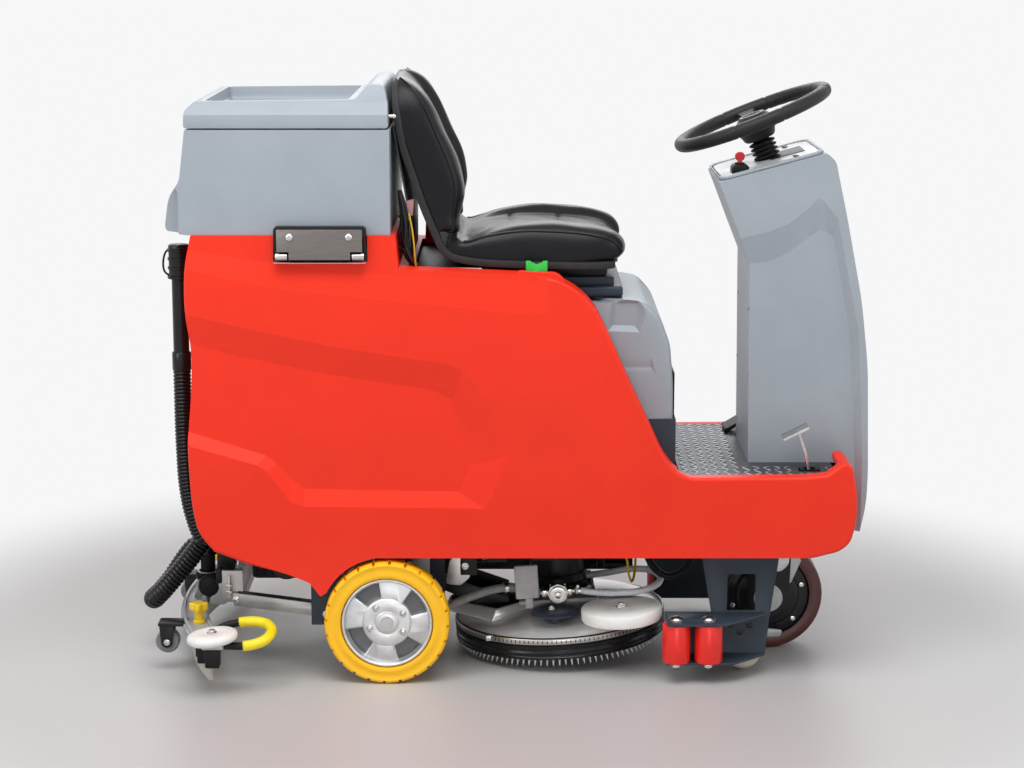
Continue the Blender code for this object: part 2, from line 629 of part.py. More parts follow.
def column():
    low = PLATFORM_Z + GAP
    front = [(0.924, 1.072), (0.951, 0.952), (0.985, 0.781), (1.001, 0.644), (FRONT_END, 0.420),
             (1.006, 0.349), (0.994, 0.290)]
    cover_low = [(0.9705, 0.290), (0.9705, low), (0.756, low)]
    rear = [(0.752, 0.858), (0.695, 1.005)]
    outline = [DASH_REAR, DASH_FRONT, *front, *cover_low, *rear]
    cover = slab(outline, -COLUMN_HALF, COLUMN_HALF)
    inner = [DASH_REAR, DASH_FRONT, *front[:5], (0.990, 0.40), (0.756, 0.40), *rear]
    half = COLUMN_HALF - COLUMN_WALL
    boot_hole = rod(WHEEL_AT, WHEEL_AT - LEAN * 0.14, BOOT_R + GAP, 24)
    cut(cover, slab(inset(inner, COLUMN_WALL), -half, half), boot_hole)
    piece(cover, "column_cover", GREY)

    a = 0.010
    edge = [(DASH_REAR[0] + a, dash_height(DASH_REAR[0] + a) + GAP),
            (DASH_FRONT[0] - a, dash_height(DASH_FRONT[0] - a) + GAP)]
    panel = slab(strip(edge, 0.004), -COLUMN_HALF + a, COLUMN_HALF - a)
    x0, x1 = SWITCH_X - 0.020, SWITCH_X + 0.020
    block = [(x0, dash_height(x0) + 0.002), (x1, dash_height(x1) + 0.002)]
    top = dash_height(SWITCH_X) + 0.018
    joined(panel, slab(strip(block, 0.016), SWITCH_Y - 0.020, SWITCH_Y + 0.020))
    cut(panel, rod(WHEEL_AT, WHEEL_AT - LEAN * 0.14, BOOT_R + GAP, 24),
        rod((SWITCH_X, SWITCH_Y, top - 0.010), (SWITCH_X, SWITCH_Y, top + 0.03),
            SWITCH_R + PIN_PLAY))
    piece(panel, "dash_panel", WHITE)

    foot = (SWITCH_X, SWITCH_Y, top - 0.0095)
    switch = rod(foot, (SWITCH_X, SWITCH_Y, top + 0.012), SWITCH_R)
    joined(switch, box((SWITCH_X - 0.010, SWITCH_Y - 0.0035, top + 0.008),
                       (SWITCH_X + 0.010, SWITCH_Y + 0.0035, top + 0.024)))
    piece(switch, "direction_switch", RED, foot)

    folds = [(0.0165, -0.054)]
    for i in range(3):
        height = -0.054 - i * 0.011
        folds += [(0.0275, height), (0.0225, height - 0.0055)]
    folds += [(BOOT_R, -0.088), (BOOT_R, -0.112), (0.0165, -0.112)]
    piece(turned(folds, WHEEL_AT, tuple(LEAN), 24), "steering_boot", BLACK)


def steering_wheel():
    mesh = bpy.data.meshes.new("rim")
    shape = bmesh.new()
    bmesh.ops.create_circle(shape, cap_ends=False, segments=8, radius=WHEEL_RIM_TUBE,
                            matrix=Matrix.Translation((WHEEL_RIM_R, 0, 0))
                            @ Matrix.Rotation(math.pi / 2, 4, "X"))
    shape.to_mesh(mesh)
    shape.free()
    rim = from_mesh(mesh)
    screw = rim.modifiers.new("turn", "SCREW")
    screw.steps = screw.render_steps = 32
    screw.use_merge_vertices = True
    screw.merge_threshold = 0.0001
    turn = LEAN.to_track_quat("Z", "Y").to_matrix().to_4x4()
    settle(rim)
    stand(rim, Matrix.Translation(WHEEL_AT) @ turn)
    fix_normals(rim)
    across = Vector((0, 1, 0))
    down = LEAN.cross(across)
    hub_low = WHEEL_AT - LEAN * 0.048
    hub = rod(hub_low, WHEEL_AT + LEAN * 0.006, 0.036, 24)
    spokes = [rod(WHEEL_AT - LEAN * 0.012, WHEEL_AT + way * (WHEEL_RIM_R - 0.004), 0.010, 8)
              for way in (across, -across, -down)]
    joined(hub, *spokes, rim)
    cut(hub, rod(WHEEL_AT - LEAN * 0.06, WHEEL_AT - LEAN * 0.020, STEER_SHAFT_R + GAP * 2, ROUND))
    piece(hub, "steering_wheel", BLACK, WHEEL_AT)
    shaft = rod(WHEEL_AT - LEAN * 0.0203, WHEEL_AT - LEAN * 0.225, STEER_SHAFT_R, 24)
    piece(shaft, "steering_shaft", STEEL, WHEEL_AT)


def fix_normals(obj):
    shape = bmesh.new()
    shape.from_mesh(obj.data)
    bmesh.ops.recalc_face_normals(shape, faces=shape.faces)
    shape.to_mesh(obj.data)
    shape.free()


# ---------------------------------------------------------------- pedals and tap
def pedals():
    x, y = BRAKE
    strap = strip([(x, PEDAL_PIVOT_Z - 0.006), (x + 0.004, 0.440), (x - 0.003, 0.475),
                   (x - 0.020, 0.5225)], 0.005)
    pedal = slab(strap, y - 0.010, y + 0.010)
    pad = slab(strip([(x - 0.002, 0.5325), (x - 0.054, 0.506)], 0.005), y - 0.022, y + 0.022)
    joined(pedal, pad,
           rod((x, y - 0.028, PEDAL_PIVOT_Z), (x, y + 0.028, PEDAL_PIVOT_Z), 0.005))
    piece(pedal, "brake_pedal", STEEL, (x, y, PEDAL_PIVOT_Z))

    low = PLATFORM_Z + GAP
    hinge = (0.738, (COLUMN_HALF + FOOT_HALF - 0.018) / 2, low + 0.006)
    near, far = COLUMN_HALF + 0.007, FOOT_HALF - 0.025
    treadle = slab(strip([(0.742, low + 0.004), (0.815, low + 0.048)], 0.008), near, far)
    joined(treadle, rod((0.738, near, hinge[2]), (0.738, far, hinge[2]), 0.006, 12))
    piece(treadle, "accelerator_pedal", BLACK, hinge)


def drain_tap():
    x, y = 0.309, -0.245
    low = DECK_Z - 0.0075
    tap = rod((x, y, low), (x, y, low + 0.010), 0.007)
    joined(tap, box((x - 0.021, y - 0.005, low + 0.006), (x + 0.021, y + 0.005, low + 0.026)))
    piece(tap, "water_tap", GREEN, (x, y, low))


# ---------------------------------------------------------------- wheels
def rear_wheels():
    piece(rod((0, -REAR_WHEEL_OUT + 0.004, REAR_WHEEL_R), (0, REAR_WHEEL_OUT - 0.004, REAR_WHEEL_R),
              AXLE_R, 24), "rear_axle", STEEL)

    def wheel(side, word):
        y0, y1 = span(side, REAR_WHEEL_OUT - REAR_WHEEL_W, REAR_WHEEL_OUT)
        centre = (0, 0, REAR_WHEEL_R)
        tyre = turned([(REAR_WHEEL_R - 0.006, y1), (REAR_WHEEL_R, y1 - 0.006),
                       (REAR_WHEEL_R, y0 + 0.006), (REAR_WHEEL_R - 0.006, y0),
                       (REAR_RIM_R + GAP * 2, y0), (REAR_RIM_R + GAP * 2, y1)],
                      centre, "Y", 40)
        piece(tyre, f"rear_tyre_{word}", YELLOW, centre)
        rim = turned(ring(REAR_RIM_R, AXLE_R + PIN_PLAY, y0 + 0.004, y1 - 0.004), centre, "Y", 32)
        piece(rim, f"rear_rim_{word}", ALUMINIUM, centre)

    both_sides(wheel)


def drive_unit():
    centre = (DRIVE_X, 0, DRIVE_R)
    half = DRIVE_W / 2
    tyre = turned([(DRIVE_R - 0.005, half), (DRIVE_R, half - 0.005), (DRIVE_R, -half + 0.005),
                   (DRIVE_R - 0.005, -half), (DRIVE_HUB_R + GAP * 2, -half),
                   (DRIVE_HUB_R + GAP * 2, half)], centre, "Y", 40)
    piece(tyre, "drive_tyre", BROWN, centre)
    hub = rod((DRIVE_X, -half - 0.008, DRIVE_R), (DRIVE_X, half + 0.008, DRIVE_R), DRIVE_HUB_R, 40)
    joined(hub, rod((DRIVE_X, -0.066, DRIVE_R), (DRIVE_X, 0.066, DRIVE_R), AXLE_R))
    piece(hub, "drive_motor", BLACK, centre)

    crown = 2 * DRIVE_R + 0.022
    fork = box((DRIVE_X - 0.055, -0.070, crown - 0.006), (DRIVE_X + 0.055, 0.070, crown + 0.006))
    adds = [rod((DRIVE_X, 0, crown), (DRIVE_X, 0, RAIL_TOP + 0.100), 0.030, ROUND),
            rod((DRIVE_X, 0, crown), (DRIVE_X, 0, STEER_PLATE_Z - GAP), 0.048, ROUND)]
    cheek = [*arc((DRIVE_X, DRIVE_R), 0.045, 180, 360, 8),
             (DRIVE_X + 0.050, crown), (DRIVE_X - 0.050, crown)]
    for side in (-1, 1):
        adds.append(slab(cheek, *span(side, 0.053, 0.062)))
    joined(fork, *adds)
    cut(fork, rod((DRIVE_X, -0.09, DRIVE_R), (DRIVE_X, 0.09, DRIVE_R), AXLE_R + PIN_PLAY))
    piece(fork, "drive_fork", SLATE, (DRIVE_X, 0, crown))


def front_guards():
    def guard(side, word):
        near, far = GUARD_Y, GUARD_Y + GUARD_T
        top = RAIL_TOP - 0.005
        web = slab([(0.646, top), (0.825, top), (0.817, 0.251), (0.799, 0.120),
                    (0.791, 0.039), (0.583, 0.039), (0.583, 0.1315), (0.677, 0.1315)],
                   *span(side, near, far))
        reach = BUMPER_Y + BUMPER_R
        root = near + 0.001
        flange = [(0.579, side * root), (0.579, side * reach), (0.700, side * reach),
                  (0.788, side * (far + 0.010)), (0.788, side * root)]
        adds = [slab(flange, BUMPER_Z[1] + GAP, BUMPER_Z[1] + 0.0045, "XY"),
                slab(flange, BUMPER_Z[0] - 0.0045, BUMPER_Z[0] - GAP, "XY")]
        for x in BUMPER_X:
            spot = (x, side * BUMPER_Y)
            adds.append(rod((*spot, 0.030), (*spot, BUMPER_Z[1] + 0.008), 0.006))
            adds.append(rod((*spot, BUMPER_Z[1] + 0.004), (*spot, BUMPER_Z[1] + 0.009), 0.014))
        adds.append(rod((ANTI_TIP[0], side * (far - 0.001), ANTI_TIP[1]),
                        (ANTI_TIP[0], side * (near - 0.034), ANTI_TIP[1]), 0.005))
        joined(web, *adds)
        cut(web, slab([(0.710, 0.137), (0.769, 0.137), (0.769, 0.216), (0.710, 0.216)],
                      *span(side, near - 0.01, far + 0.002)))
        piece(web, f"front_guard_{word}", SLATE)
        for x, end in zip(BUMPER_X, ("rear", "front")):
            centre = (x, side * BUMPER_Y, 0)
            roller = turned(ring(BUMPER_R, 0.006 + PIN_PLAY, *BUMPER_Z), centre, "Z", 24)
            piece(roller, f"bumper_roller_{word}_{end}", RED, centre)
        centre = (ANTI_TIP[0], 0, ANTI_TIP[1])
        y0, y1 = span(side, near - 0.002, near - 0.032)
        roller = turned(ring(ANTI_TIP_R, 0.005 + PIN_PLAY, y0, y1), centre, "Y", 24)
        piece(roller, f"anti_tip_roller_{word}", WHITE, centre)

    both_sides(guard)


# ---------------------------------------------------------------- brush deck
def brush_deck():
    """Made level, as when it scrubs, and turned up about its pivot by the empty."""
    pivot = Vector((DECK_PIVOT[0], 0, DECK_PIVOT[1]))
    lift = bpy.data.objects.new("deck_lift", None)
    PARTS.objects.link(lift)
    lift.location = pivot
    lift.rotation_euler = (0, -DECK_RAISE, 0)
    lift.parent = machine

    def hung(obj, name, look, at=(0, 0, 0)):
        made = piece(obj, name, look, at, lift)
        made.location = Vector(at) - pivot

    centre = (BRUSH_X, 0, 0)
    block_top = 0.115
    pan = turned([(0.0100, 0.085), (0.130, 0.085), (0.205, 0.072), (PAN_R, 0.064),
                  (PAN_R, 0.052), (PAN_R - 0.004, 0.052), (PAN_R - 0.006, 0.060),
                  (0.200, 0.066), (0.130, 0.079), (0.0100, 0.079)], centre, "Z", 40)
    adds = [box((0.215, -0.120, 0.082), (0.440, 0.120, block_top))]
    for side in (-1, 1):
        bar = slab([(0.086, 0.150), (0.086, 0.172), (0.112, 0.172), (0.250, 0.114),
                    (0.250, 0.086), (0.215, 0.086)], *span(side, 0.108, 0.1165))
        adds.append(bar)
    adds.append(rod((pivot.x, -0.130, pivot.z), (pivot.x, 0.130, pivot.z), 0.006))
    rx, ry = DECK_ROLLER
    adds.append(box((0.425, ry - 0.020, 0.078), (rx + 0.020, -0.090, 0.0905)))
    adds.append(rod((rx, ry, 0.082), (rx, ry, 0.124), 0.008))
    joined(pan, *adds)
    cut(pan, rod((BRUSH_X, 0, 0.06), (BRUSH_X, 0, 0.13), 0.0125))
    hung(pan, "brush_deck", STEEL, pivot)

    skirt = turned(ring(SKIRT_R, PAN_R + 0.0007, BRUSH_TIP + 0.009, 0.064), centre, "Z", 40)
    hung(skirt, "deck_skirt", BLACK, pivot)

    motor = rod((BRUSH_X, 0, block_top + GAP), (BRUSH_X, 0, 0.235), 0.062, 24)
    joined(motor, box((BRUSH_X - 0.075, -0.075, block_top + GAP),
                      (BRUSH_X + 0.075, 0.075, block_top + 0.010)))
    hung(motor, "brush_motor", BLACK, pivot)

    brush = turned([(0.0001, block_top), (0.0118, block_top), (0.0118, 0.046), (BRUSH_R, 0.046),
                    (BRUSH_R, BRUSH_TIP), (0.095, BRUSH_TIP), (0.095, 0.030), (0.0001, 0.030)],
                   centre, "Z", 36)
    hung(brush, "disc_brush", GREY, centre)

    roller = turned(ring(DECK_ROLLER_R, 0.008 + PIN_PLAY, 0.0908, 0.1188), (rx, ry, 0), "Z", 40)
    hung(roller, "deck_roller", WHITE, (rx, ry, 0))

    foot = block_top + GAP
    valve = box((0.262, -0.112, foot), (0.312, -0.104, 0.192))
    joined(valve,
           box((0.262, -0.116, foot), (0.440, -0.084, foot + 0.008)),
           box((0.340, -0.112, foot + 0.004), (0.372, -0.092, 0.140)),
           rod((0.356, -0.160, 0.136), (0.356, -0.090, 0.136), 0.019, 16),
           rod((0.310, -0.125, 0.136), (0.392, -0.125, 0.136), 0.010, 12))
    hung(valve, "feed_valve", STEEL, pivot)

    hose = tube([(0.3936, -0.125, 0.136), (0.404, -0.125, 0.136), (0.434, -0.138, 0.134),
                 (0.480, -0.150, 0.133), (0.530, -0.145, 0.133), (0.566, -0.118, 0.136),
                 (0.578, -0.075, 0.141), (0.560, -0.035, 0.146), (0.515, -0.015, 0.146),
                 (0.470, -0.012, 0.140), (0.4195, -0.010, 0.136)], 0.0072, 2, 2)
    hung(hose, "feed_hose", WHITE, pivot)


def deck_actuator():
    at = (0.455, 0.045)
    top = RAIL_TOP - 0.004 - GAP
    strut = rod((*at, 0.215), (*at, top), 0.019, 20)
    joined(strut, rod((*at, 0.160), (*at, 0.22), 0.009))
    piece(strut, "deck_actuator", BLACK)


# ---------------------------------------------------------------- squeegee
def squeegee_arm():
    slope = [(-0.330, 0.160), (-0.118, 0.132), (-0.118, 0.104), (-0.330, 0.132)]
    arm = slab(slope, 0.142, 0.164)
    adds = [slab(slope, -0.164, -0.142),
            box((-0.332, -0.160, 0.134), (-0.310, 0.160, 0.158)),
            rod((ARM_PIVOT[0], -0.184, ARM_PIVOT[1]), (ARM_PIVOT[0], 0.184, ARM_PIVOT[1]), 0.006),
            rod((LEVEL_PIVOT[0], -0.070, LEVEL_PIVOT[1]), (LEVEL_PIVOT[0], 0.070, LEVEL_PIVOT[1]),
                0.006)]
    for side in (-1, 1):
        y0, y1 = span(side, 0.1440, 0.1500)
        adds.append(box((-0.356, y0, 0.136), (-0.312, y1, 0.205)))
        y0, y1 = span(side, 0.012, 0.030)
        adds.append(box((-0.353, y0, 0.137), (-0.320, y1, 0.154)))
    joined(arm, *adds)
    piece(arm, "squeegee_arm", STEEL, (ARM_PIVOT[0], 0, ARM_PIVOT[1]))


def squeegee_band(inner, outer, low, high, half_width):
    """A band of the squeegee's long curve, between two offsets from its blade line."""
    depth = SQUEEGEE_END[0] - SQUEEGEE_MID
    radius = (SQUEEGEE_END[1] ** 2 + depth ** 2) / (2 * depth)
    centre = (SQUEEGEE_MID + radius, 0)
    sweep = math.degrees(math.asin(half_width / radius))
    outline = [*arc(centre, radius + outer, 180 - sweep, 180 + sweep, 10),
               *arc(centre, radius + inner, 180 + sweep, 180 - sweep, 10)]
    return slab(outline, low, high, "XY")


def squeegee_head():
    low, high = HEAD_PLATE
    pivot = (LEVEL_PIVOT[0], 0, LEVEL_PIVOT[1])
    head = squeegee_band(-0.032, 0.028, low, high, 0.343)
    adds = [squeegee_band(-0.014, -0.002, 0.052, low + 0.002, 0.346),
            rod((PORT_X, 0, low + 0.002), (PORT_X, 0, 0.165), 0.0250, 24)]
    for side in (-1, 1):
        y0, y1 = span(side, 0.045, 0.055)
        adds.append(slab([(-0.400, 0.102), (-0.380, 0.150), (-0.357, 0.158), (-0.335, 0.158),
                          (-0.335, 0.135), (-0.362, 0.102)], y0, y1))
        ex, ey = SQUEEGEE_END[0], side * SQUEEGEE_END[1]
        adds.append(box((ex - 0.020, *span(side, 0.330, 0.372)[:1], low + 0.001),
                        (ex + 0.020, span(side, 0.330, 0.372)[1], high + 0.003)))
        lean = Vector((-math.sin(END_ROLLER_TILT), 0, math.cos(END_ROLLER_TILT)))
        root = Vector((ex, ey, 0.104))
        adds.append(rod(root, root + lean * 0.036, 0.006))
        adds.append(rod(root + lean * 0.001, root + lean * 0.0085, 0.016))
        cx, cy, cz = CASTER[0], side * CASTER[1], CASTER[2]
        adds.append(box((cx - 0.018, cy - 0.021, 0.1000), (-0.425, cy + 0.021, 0.1075)))
        for offset in (-0.017, 0.017):
            adds.append(slab([(cx - 0.014, 0.104), (cx + 0.014, 0.104), (cx + 0.009, cz - 0.009),
                              (cx - 0.009, cz - 0.009)],
                             cy + offset - 0.002, cy + offset + 0.002))
        adds.append(rod((cx, cy - 0.018, cz), (cx, cy + 0.018, cz), 0.004, 12))
        loop = [(-0.366, side * 0.262, 0.104), (-0.330, side * 0.262, 0.120),
                (-0.285, side * 0.264, 0.128), (-0.250, side * 0.275, 0.126),
                (-0.236, side * 0.310, 0.120), (-0.250, side * 0.345, 0.111),
                (-0.285, side * 0.356, 0.104), (-0.330, side * 0.352, 0.103)]
        adds.append(tube(loop, 0.010, 2, 2))
    joined(head, *adds)
    cut(head,
        rod((PORT_X, 0, 0.04), (PORT_X, 0, 0.2), 0.020, 24),
        rod((pivot[0], -0.1, pivot[2]), (pivot[0], 0.1, pivot[2]), 0.006 + PIN_PLAY))
    piece(head, "squeegee_head", ALUMINIUM, pivot)

    blade = squeegee_band(-0.002 + GAP, 0.006, BLADE_TIP, low - GAP, 0.346)
    piece(blade, "squeegee_blade", WHITE, pivot)

    def end_pieces(side, word):
        cx, cy, cz = CASTER[0], side * CASTER[1], CASTER[2]
        caster = turned(ring(CASTER_R, 0.004 + PIN_PLAY, cy - 0.0145, cy + 0.0145), (cx, 0, cz),
                        "Y", 24)
        piece(caster, f"squeegee_caster_{word}", BLACK, (cx, cy, cz))
        lean = Vector((-math.sin(END_ROLLER_TILT), 0, math.cos(END_ROLLER_TILT)))
        root = Vector((SQUEEGEE_END[0], side * SQUEEGEE_END[1], 0.104))
        roller = turned(ring(END_ROLLER_R, 0.006 + PIN_PLAY, 0.0088, 0.0308), root, tuple(lean), 32)
        piece(roller, f"end_roller_{word}", WHITE, root)
        spot = (KNOB[0], side * KNOB[1])
        knob = rod((*spot, high + GAP), (*spot, 0.140), 0.010)
        joined(knob, rod((*spot, 0.132), (*spot, 0.150), 0.020, 10))
        piece(knob, f"squeegee_knob_{word}", YELLOW, (*spot, high))

    both_sides(end_pieces)


# ---------------------------------------------------------------- hoses
def hoses():
    suction = tube([(-0.350, -0.075, 0.335), (-0.377, -0.077, 0.292), (-0.410, -0.079, 0.243),
                    (-0.447, -0.080, 0.195), (-0.487, -0.078, 0.150), (-0.516, -0.066, 0.117),
                    (-0.5245, -0.038, 0.112), (-0.514, -0.008, 0.134), (-0.490, 0.008, 0.170),
                    (-0.456, 0.010, 0.203), (-0.422, 0.005, 0.205), (-0.407, 0.001, 0.188),
                    (PORT_X, 0, 0.176), (PORT_X, 0, 0.1665)], 0.0205, 3, 2)
    piece(suction, "suction_hose", BLACK)
    x = min(point[0] for point in SHELL_UPPER) - 0.0222
    hang = SHELL_TOP - 0.095
    clip_x, share = REAR_CONTOUR[-1]
    clip_z = SKIRT_Z + share * (SHELL_TOP - SKIRT_Z)
    drain = tube([*[(x, -0.12, hang + (0.460 - hang) * i / 4) for i in range(4)],
                  (x + 0.001, -0.12, 0.460), (x + 0.004, -0.12, 0.390), (x + 0.014, -0.12, 0.325),
                  (x + 0.034, -0.12, 0.272), (x + 0.062, -0.12, 0.290), (x + 0.072, -0.12, 0.350)],
                 0.0185, 3, 2)
    joined(drain, rod((x, -0.12, hang - 0.015), (x, -0.12, hang + 0.058), 0.0212, 20),
           rod((x, -0.12, hang - 0.208), (x, -0.12, hang - 0.168), 0.0198, 20),
           box((x, -0.130, clip_z - 0.006), (clip_x - GAP * 2, -0.110, clip_z + 0.006)))
    piece(drain, "drain_hose", BLACK)


body_shell()
chassis_frame()
foot_plate()
seat_box()
rear_panel()
battery_pack()
recovery_tank()
tank_hinge()
tank_lid()
seat()
column()
steering_wheel()
pedals()
drain_tap()
rear_wheels()
drive_unit()
front_guards()
brush_deck()
deck_actuator()
squeegee_arm()
squeegee_head()
hoses()
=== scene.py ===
"""The looks of the ride-on floor scrubber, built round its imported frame.

Metres, +X is the front, +Z is up. Places along the machine are measured from the rear axle,
and at() moves them into the frame.
"""

import json
import math

import bmesh
import bpy
from mathutils import Matrix, Vector


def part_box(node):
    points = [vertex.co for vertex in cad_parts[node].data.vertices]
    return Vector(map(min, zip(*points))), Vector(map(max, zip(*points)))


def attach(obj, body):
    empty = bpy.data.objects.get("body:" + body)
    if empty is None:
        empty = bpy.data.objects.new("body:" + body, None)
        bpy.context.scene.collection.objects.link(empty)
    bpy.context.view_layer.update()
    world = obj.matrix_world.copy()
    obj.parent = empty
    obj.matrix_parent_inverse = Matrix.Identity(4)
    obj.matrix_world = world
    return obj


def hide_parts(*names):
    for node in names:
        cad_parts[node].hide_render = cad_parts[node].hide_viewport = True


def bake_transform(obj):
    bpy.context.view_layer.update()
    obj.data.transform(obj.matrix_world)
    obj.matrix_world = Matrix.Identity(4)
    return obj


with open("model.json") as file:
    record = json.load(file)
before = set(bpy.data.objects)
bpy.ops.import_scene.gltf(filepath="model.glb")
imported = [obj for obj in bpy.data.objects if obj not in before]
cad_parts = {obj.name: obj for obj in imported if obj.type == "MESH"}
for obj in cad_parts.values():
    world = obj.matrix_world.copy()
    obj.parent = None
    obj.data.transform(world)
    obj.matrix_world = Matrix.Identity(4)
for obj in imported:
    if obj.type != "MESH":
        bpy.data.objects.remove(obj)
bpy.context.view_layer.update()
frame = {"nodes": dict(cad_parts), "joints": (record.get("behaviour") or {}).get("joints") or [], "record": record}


def middle(node):
    low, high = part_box(node)
    return (low + high) / 2


# ---------------------------------------------------------------- sizes read from the frame
AXLE_X = middle("rear_axle").x
SHELL_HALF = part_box("body_shell")[1].y
SHELL_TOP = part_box("body_shell")[1].z
TANK_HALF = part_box("recovery_tank")[1].y
LID_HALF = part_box("tank_lid")[1].y
COLUMN_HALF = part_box("column_cover")[1].y
PLATFORM_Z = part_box("foot_plate")[1].z
REAR_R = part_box("rear_tyre_right")[1].z / 2
DRIVE_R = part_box("drive_tyre")[1].z / 2
WHEEL_TILT = math.radians(21.6)
LEAN = Vector((-math.sin(WHEEL_TILT), 0, math.cos(WHEEL_TILT)))
JOINT = {joint["name"]: joint for joint in frame["joints"]}
WHEEL_AT = Vector(JOINT["steering_turn"]["pos_m"])
SIDES = ((-1, "right"), (1, "left"))

# ---------------------------------------------------------------- other sizes
ACROSS, UP = (0, 1, 0), (0, 0, 1)
PROUD = 0.0001          # how far a cutter's edge stands off the face that it cuts
ON_FACE = 1e-4          # an edge nearer than this to a face lies on it
FLARE = 0.02            # how far a cutter goes on outside the face
GRIP_R = 0.16           # the middle of the steering wheel's rim
SEAT_HALF = 0.211
PAN_HALF = 0.215
BOX_HALF = 0.2
DECK_X = 0.357          # the brush's axis
DECK_TILT = math.radians(3.5)
WALL_ROLLER = (0.487, -0.2)
BLADE_REAR, BLADE_SPAN, BLADE_SAG = -0.43, 0.36, 0.08
KEY = (0.732, -0.085)
TAP = (0.309, -0.245)
STRUT = (0.455, 0.045)


def at(x, y, z):
    """A point from its distance in front of the rear axle."""
    return Vector((x + AXLE_X, y, z))


def route_at(points):
    return [at(*point) for point in points]


def span(side, inner, outer):
    """From and to, across the machine, for a piece on one side."""
    return sorted((side * inner, side * outer))


def round_axis(angle, radius, height=0.0):
    """A step of radius in a wheel's plane, and of height along its axle."""
    return Vector((radius * math.cos(angle), height, radius * math.sin(angle)))


def linked(name, data):
    obj = bpy.data.objects.new(name, data)
    bpy.context.scene.collection.objects.link(obj)
    return obj


def shader_node(nodes, kind, **inputs):
    """A new shader node with some of its inputs set."""
    made = nodes.new("ShaderNode" + kind)
    for name, value in inputs.items():
        made.inputs[name.replace("_", " ")].default_value = value
    return made


# ---------------------------------------------------------------- camera, light and floor
BACKDROP = (0.93, 0.93, 0.94, 1)
LIT_BY = (0.94, 0.96, 1.0, 1)
FLOOR_DARK, FLOOR_PALE = (0.44, 0.435, 0.43, 1), (0.58, 0.575, 0.57, 1)
FADE_FROM, FADE_TO = 1.05, 1.75     # metres from the middle, where the floor turns white


def studio():
    camera = linked("camera", bpy.data.cameras.new("camera"))
    camera.location = (0.028, -4.929, 1.546)
    camera.rotation_euler = (math.radians(78.9), 0, 0)
    camera.data.sensor_width = 36.0
    camera.data.lens = 82.05
    bpy.context.scene.camera = camera

    def softbox(name, place, aim, size, power, spread=180):
        data = bpy.data.lights.new(name, "AREA")
        data.shape = "RECTANGLE"
        data.size, data.size_y = size
        data.energy = power
        data.spread = math.radians(spread)
        lamp = linked(name, data)
        lamp.location = place
        lamp.rotation_euler = (Vector(aim) - Vector(place)).to_track_quat("-Z", "Y").to_euler()

    softbox("overhead", (-0.2, -1.6, 3.5), (0, 0, 0.5), (3.2, 2.0), 105)
    softbox("left_side", (-3.2, -2.6, 2.2), (-0.2, 0, 0.6), (1.8, 1.8), 42)
    softbox("right_side", (3.4, -1.6, 2.0), (0.2, 0, 0.6), (1.6, 1.8), 24)
    softbox("low_front", (0.1, -1.7, 0.1), (0.1, 0, 0.07), (1.5, 0.12), 0.13, 20)
    softbox("behind", (0.2, 3.2, 2.9), (0, 0, 0.6), (3.0, 1.8), 55)

    bpy.context.scene.view_settings.view_transform = "Standard"
    world = bpy.data.worlds.new("studio")
    world.use_nodes = True
    bpy.context.scene.world = world
    nodes, links = world.node_tree.nodes, world.node_tree.links
    nodes.clear()
    path = shader_node(nodes, "LightPath")
    seen = shader_node(nodes, "Math")
    seen.operation = "MAXIMUM"
    through = shader_node(nodes, "Math")
    through.operation = "MAXIMUM"
    links.new(path.outputs["Is Camera Ray"], seen.inputs[0])
    links.new(path.outputs["Is Glossy Ray"], seen.inputs[1])
    links.new(seen.outputs[0], through.inputs[0])
    links.new(path.outputs["Is Transmission Ray"], through.inputs[1])
    lit = shader_node(nodes, "Background", Color=LIT_BY, Strength=0.26)
    shown = shader_node(nodes, "Background", Color=BACKDROP, Strength=1.0)
    mixed = shader_node(nodes, "MixShader")
    links.new(through.outputs[0], mixed.inputs[0])
    links.new(lit.outputs[0], mixed.inputs[1])
    links.new(shown.outputs[0], mixed.inputs[2])
    out = shader_node(nodes, "OutputWorld")
    links.new(mixed.outputs[0], out.inputs[0])

    bpy.ops.mesh.primitive_plane_add(size=30, location=(0, 0, -0.0005))
    floor = bpy.context.object
    floor.name = "floor"
    stone = bpy.data.materials.new("pale_floor")
    stone.use_nodes = True
    nodes, links = stone.node_tree.nodes, stone.node_tree.links
    shader = nodes["Principled BSDF"]
    place = shader_node(nodes, "TexCoord")
    grain = shader_node(nodes, "TexNoise", Scale=900.0)
    ramp = shader_node(nodes, "ValToRGB")
    ramp.color_ramp.elements[0].color = FLOOR_DARK
    ramp.color_ramp.elements[1].color = FLOOR_PALE
    links.new(place.outputs["Object"], grain.inputs["Vector"])
    links.new(grain.outputs["Fac"], ramp.inputs["Fac"])
    links.new(ramp.outputs["Color"], shader.inputs["Base Color"])
    shader.inputs["Roughness"].default_value = 0.42
    # further out the floor turns into the white backdrop
    reach = shader_node(nodes, "VectorMath")
    reach.operation = "LENGTH"
    links.new(place.outputs["Object"], reach.inputs[0])
    away = shader_node(nodes, "MapRange", From_Min=FADE_FROM, From_Max=FADE_TO)
    away.interpolation_type = "SMOOTHSTEP"
    links.new(reach.outputs["Value"], away.inputs["Value"])
    white = shader_node(nodes, "Emission", Color=BACKDROP)
    blend = shader_node(nodes, "MixShader")
    links.new(away.outputs["Result"], blend.inputs[0])
    links.new(shader.outputs[0], blend.inputs[1])
    links.new(white.outputs[0], blend.inputs[2])
    links.new(blend.outputs[0], nodes["Material Output"].inputs["Surface"])
    floor.data.materials.append(stone)


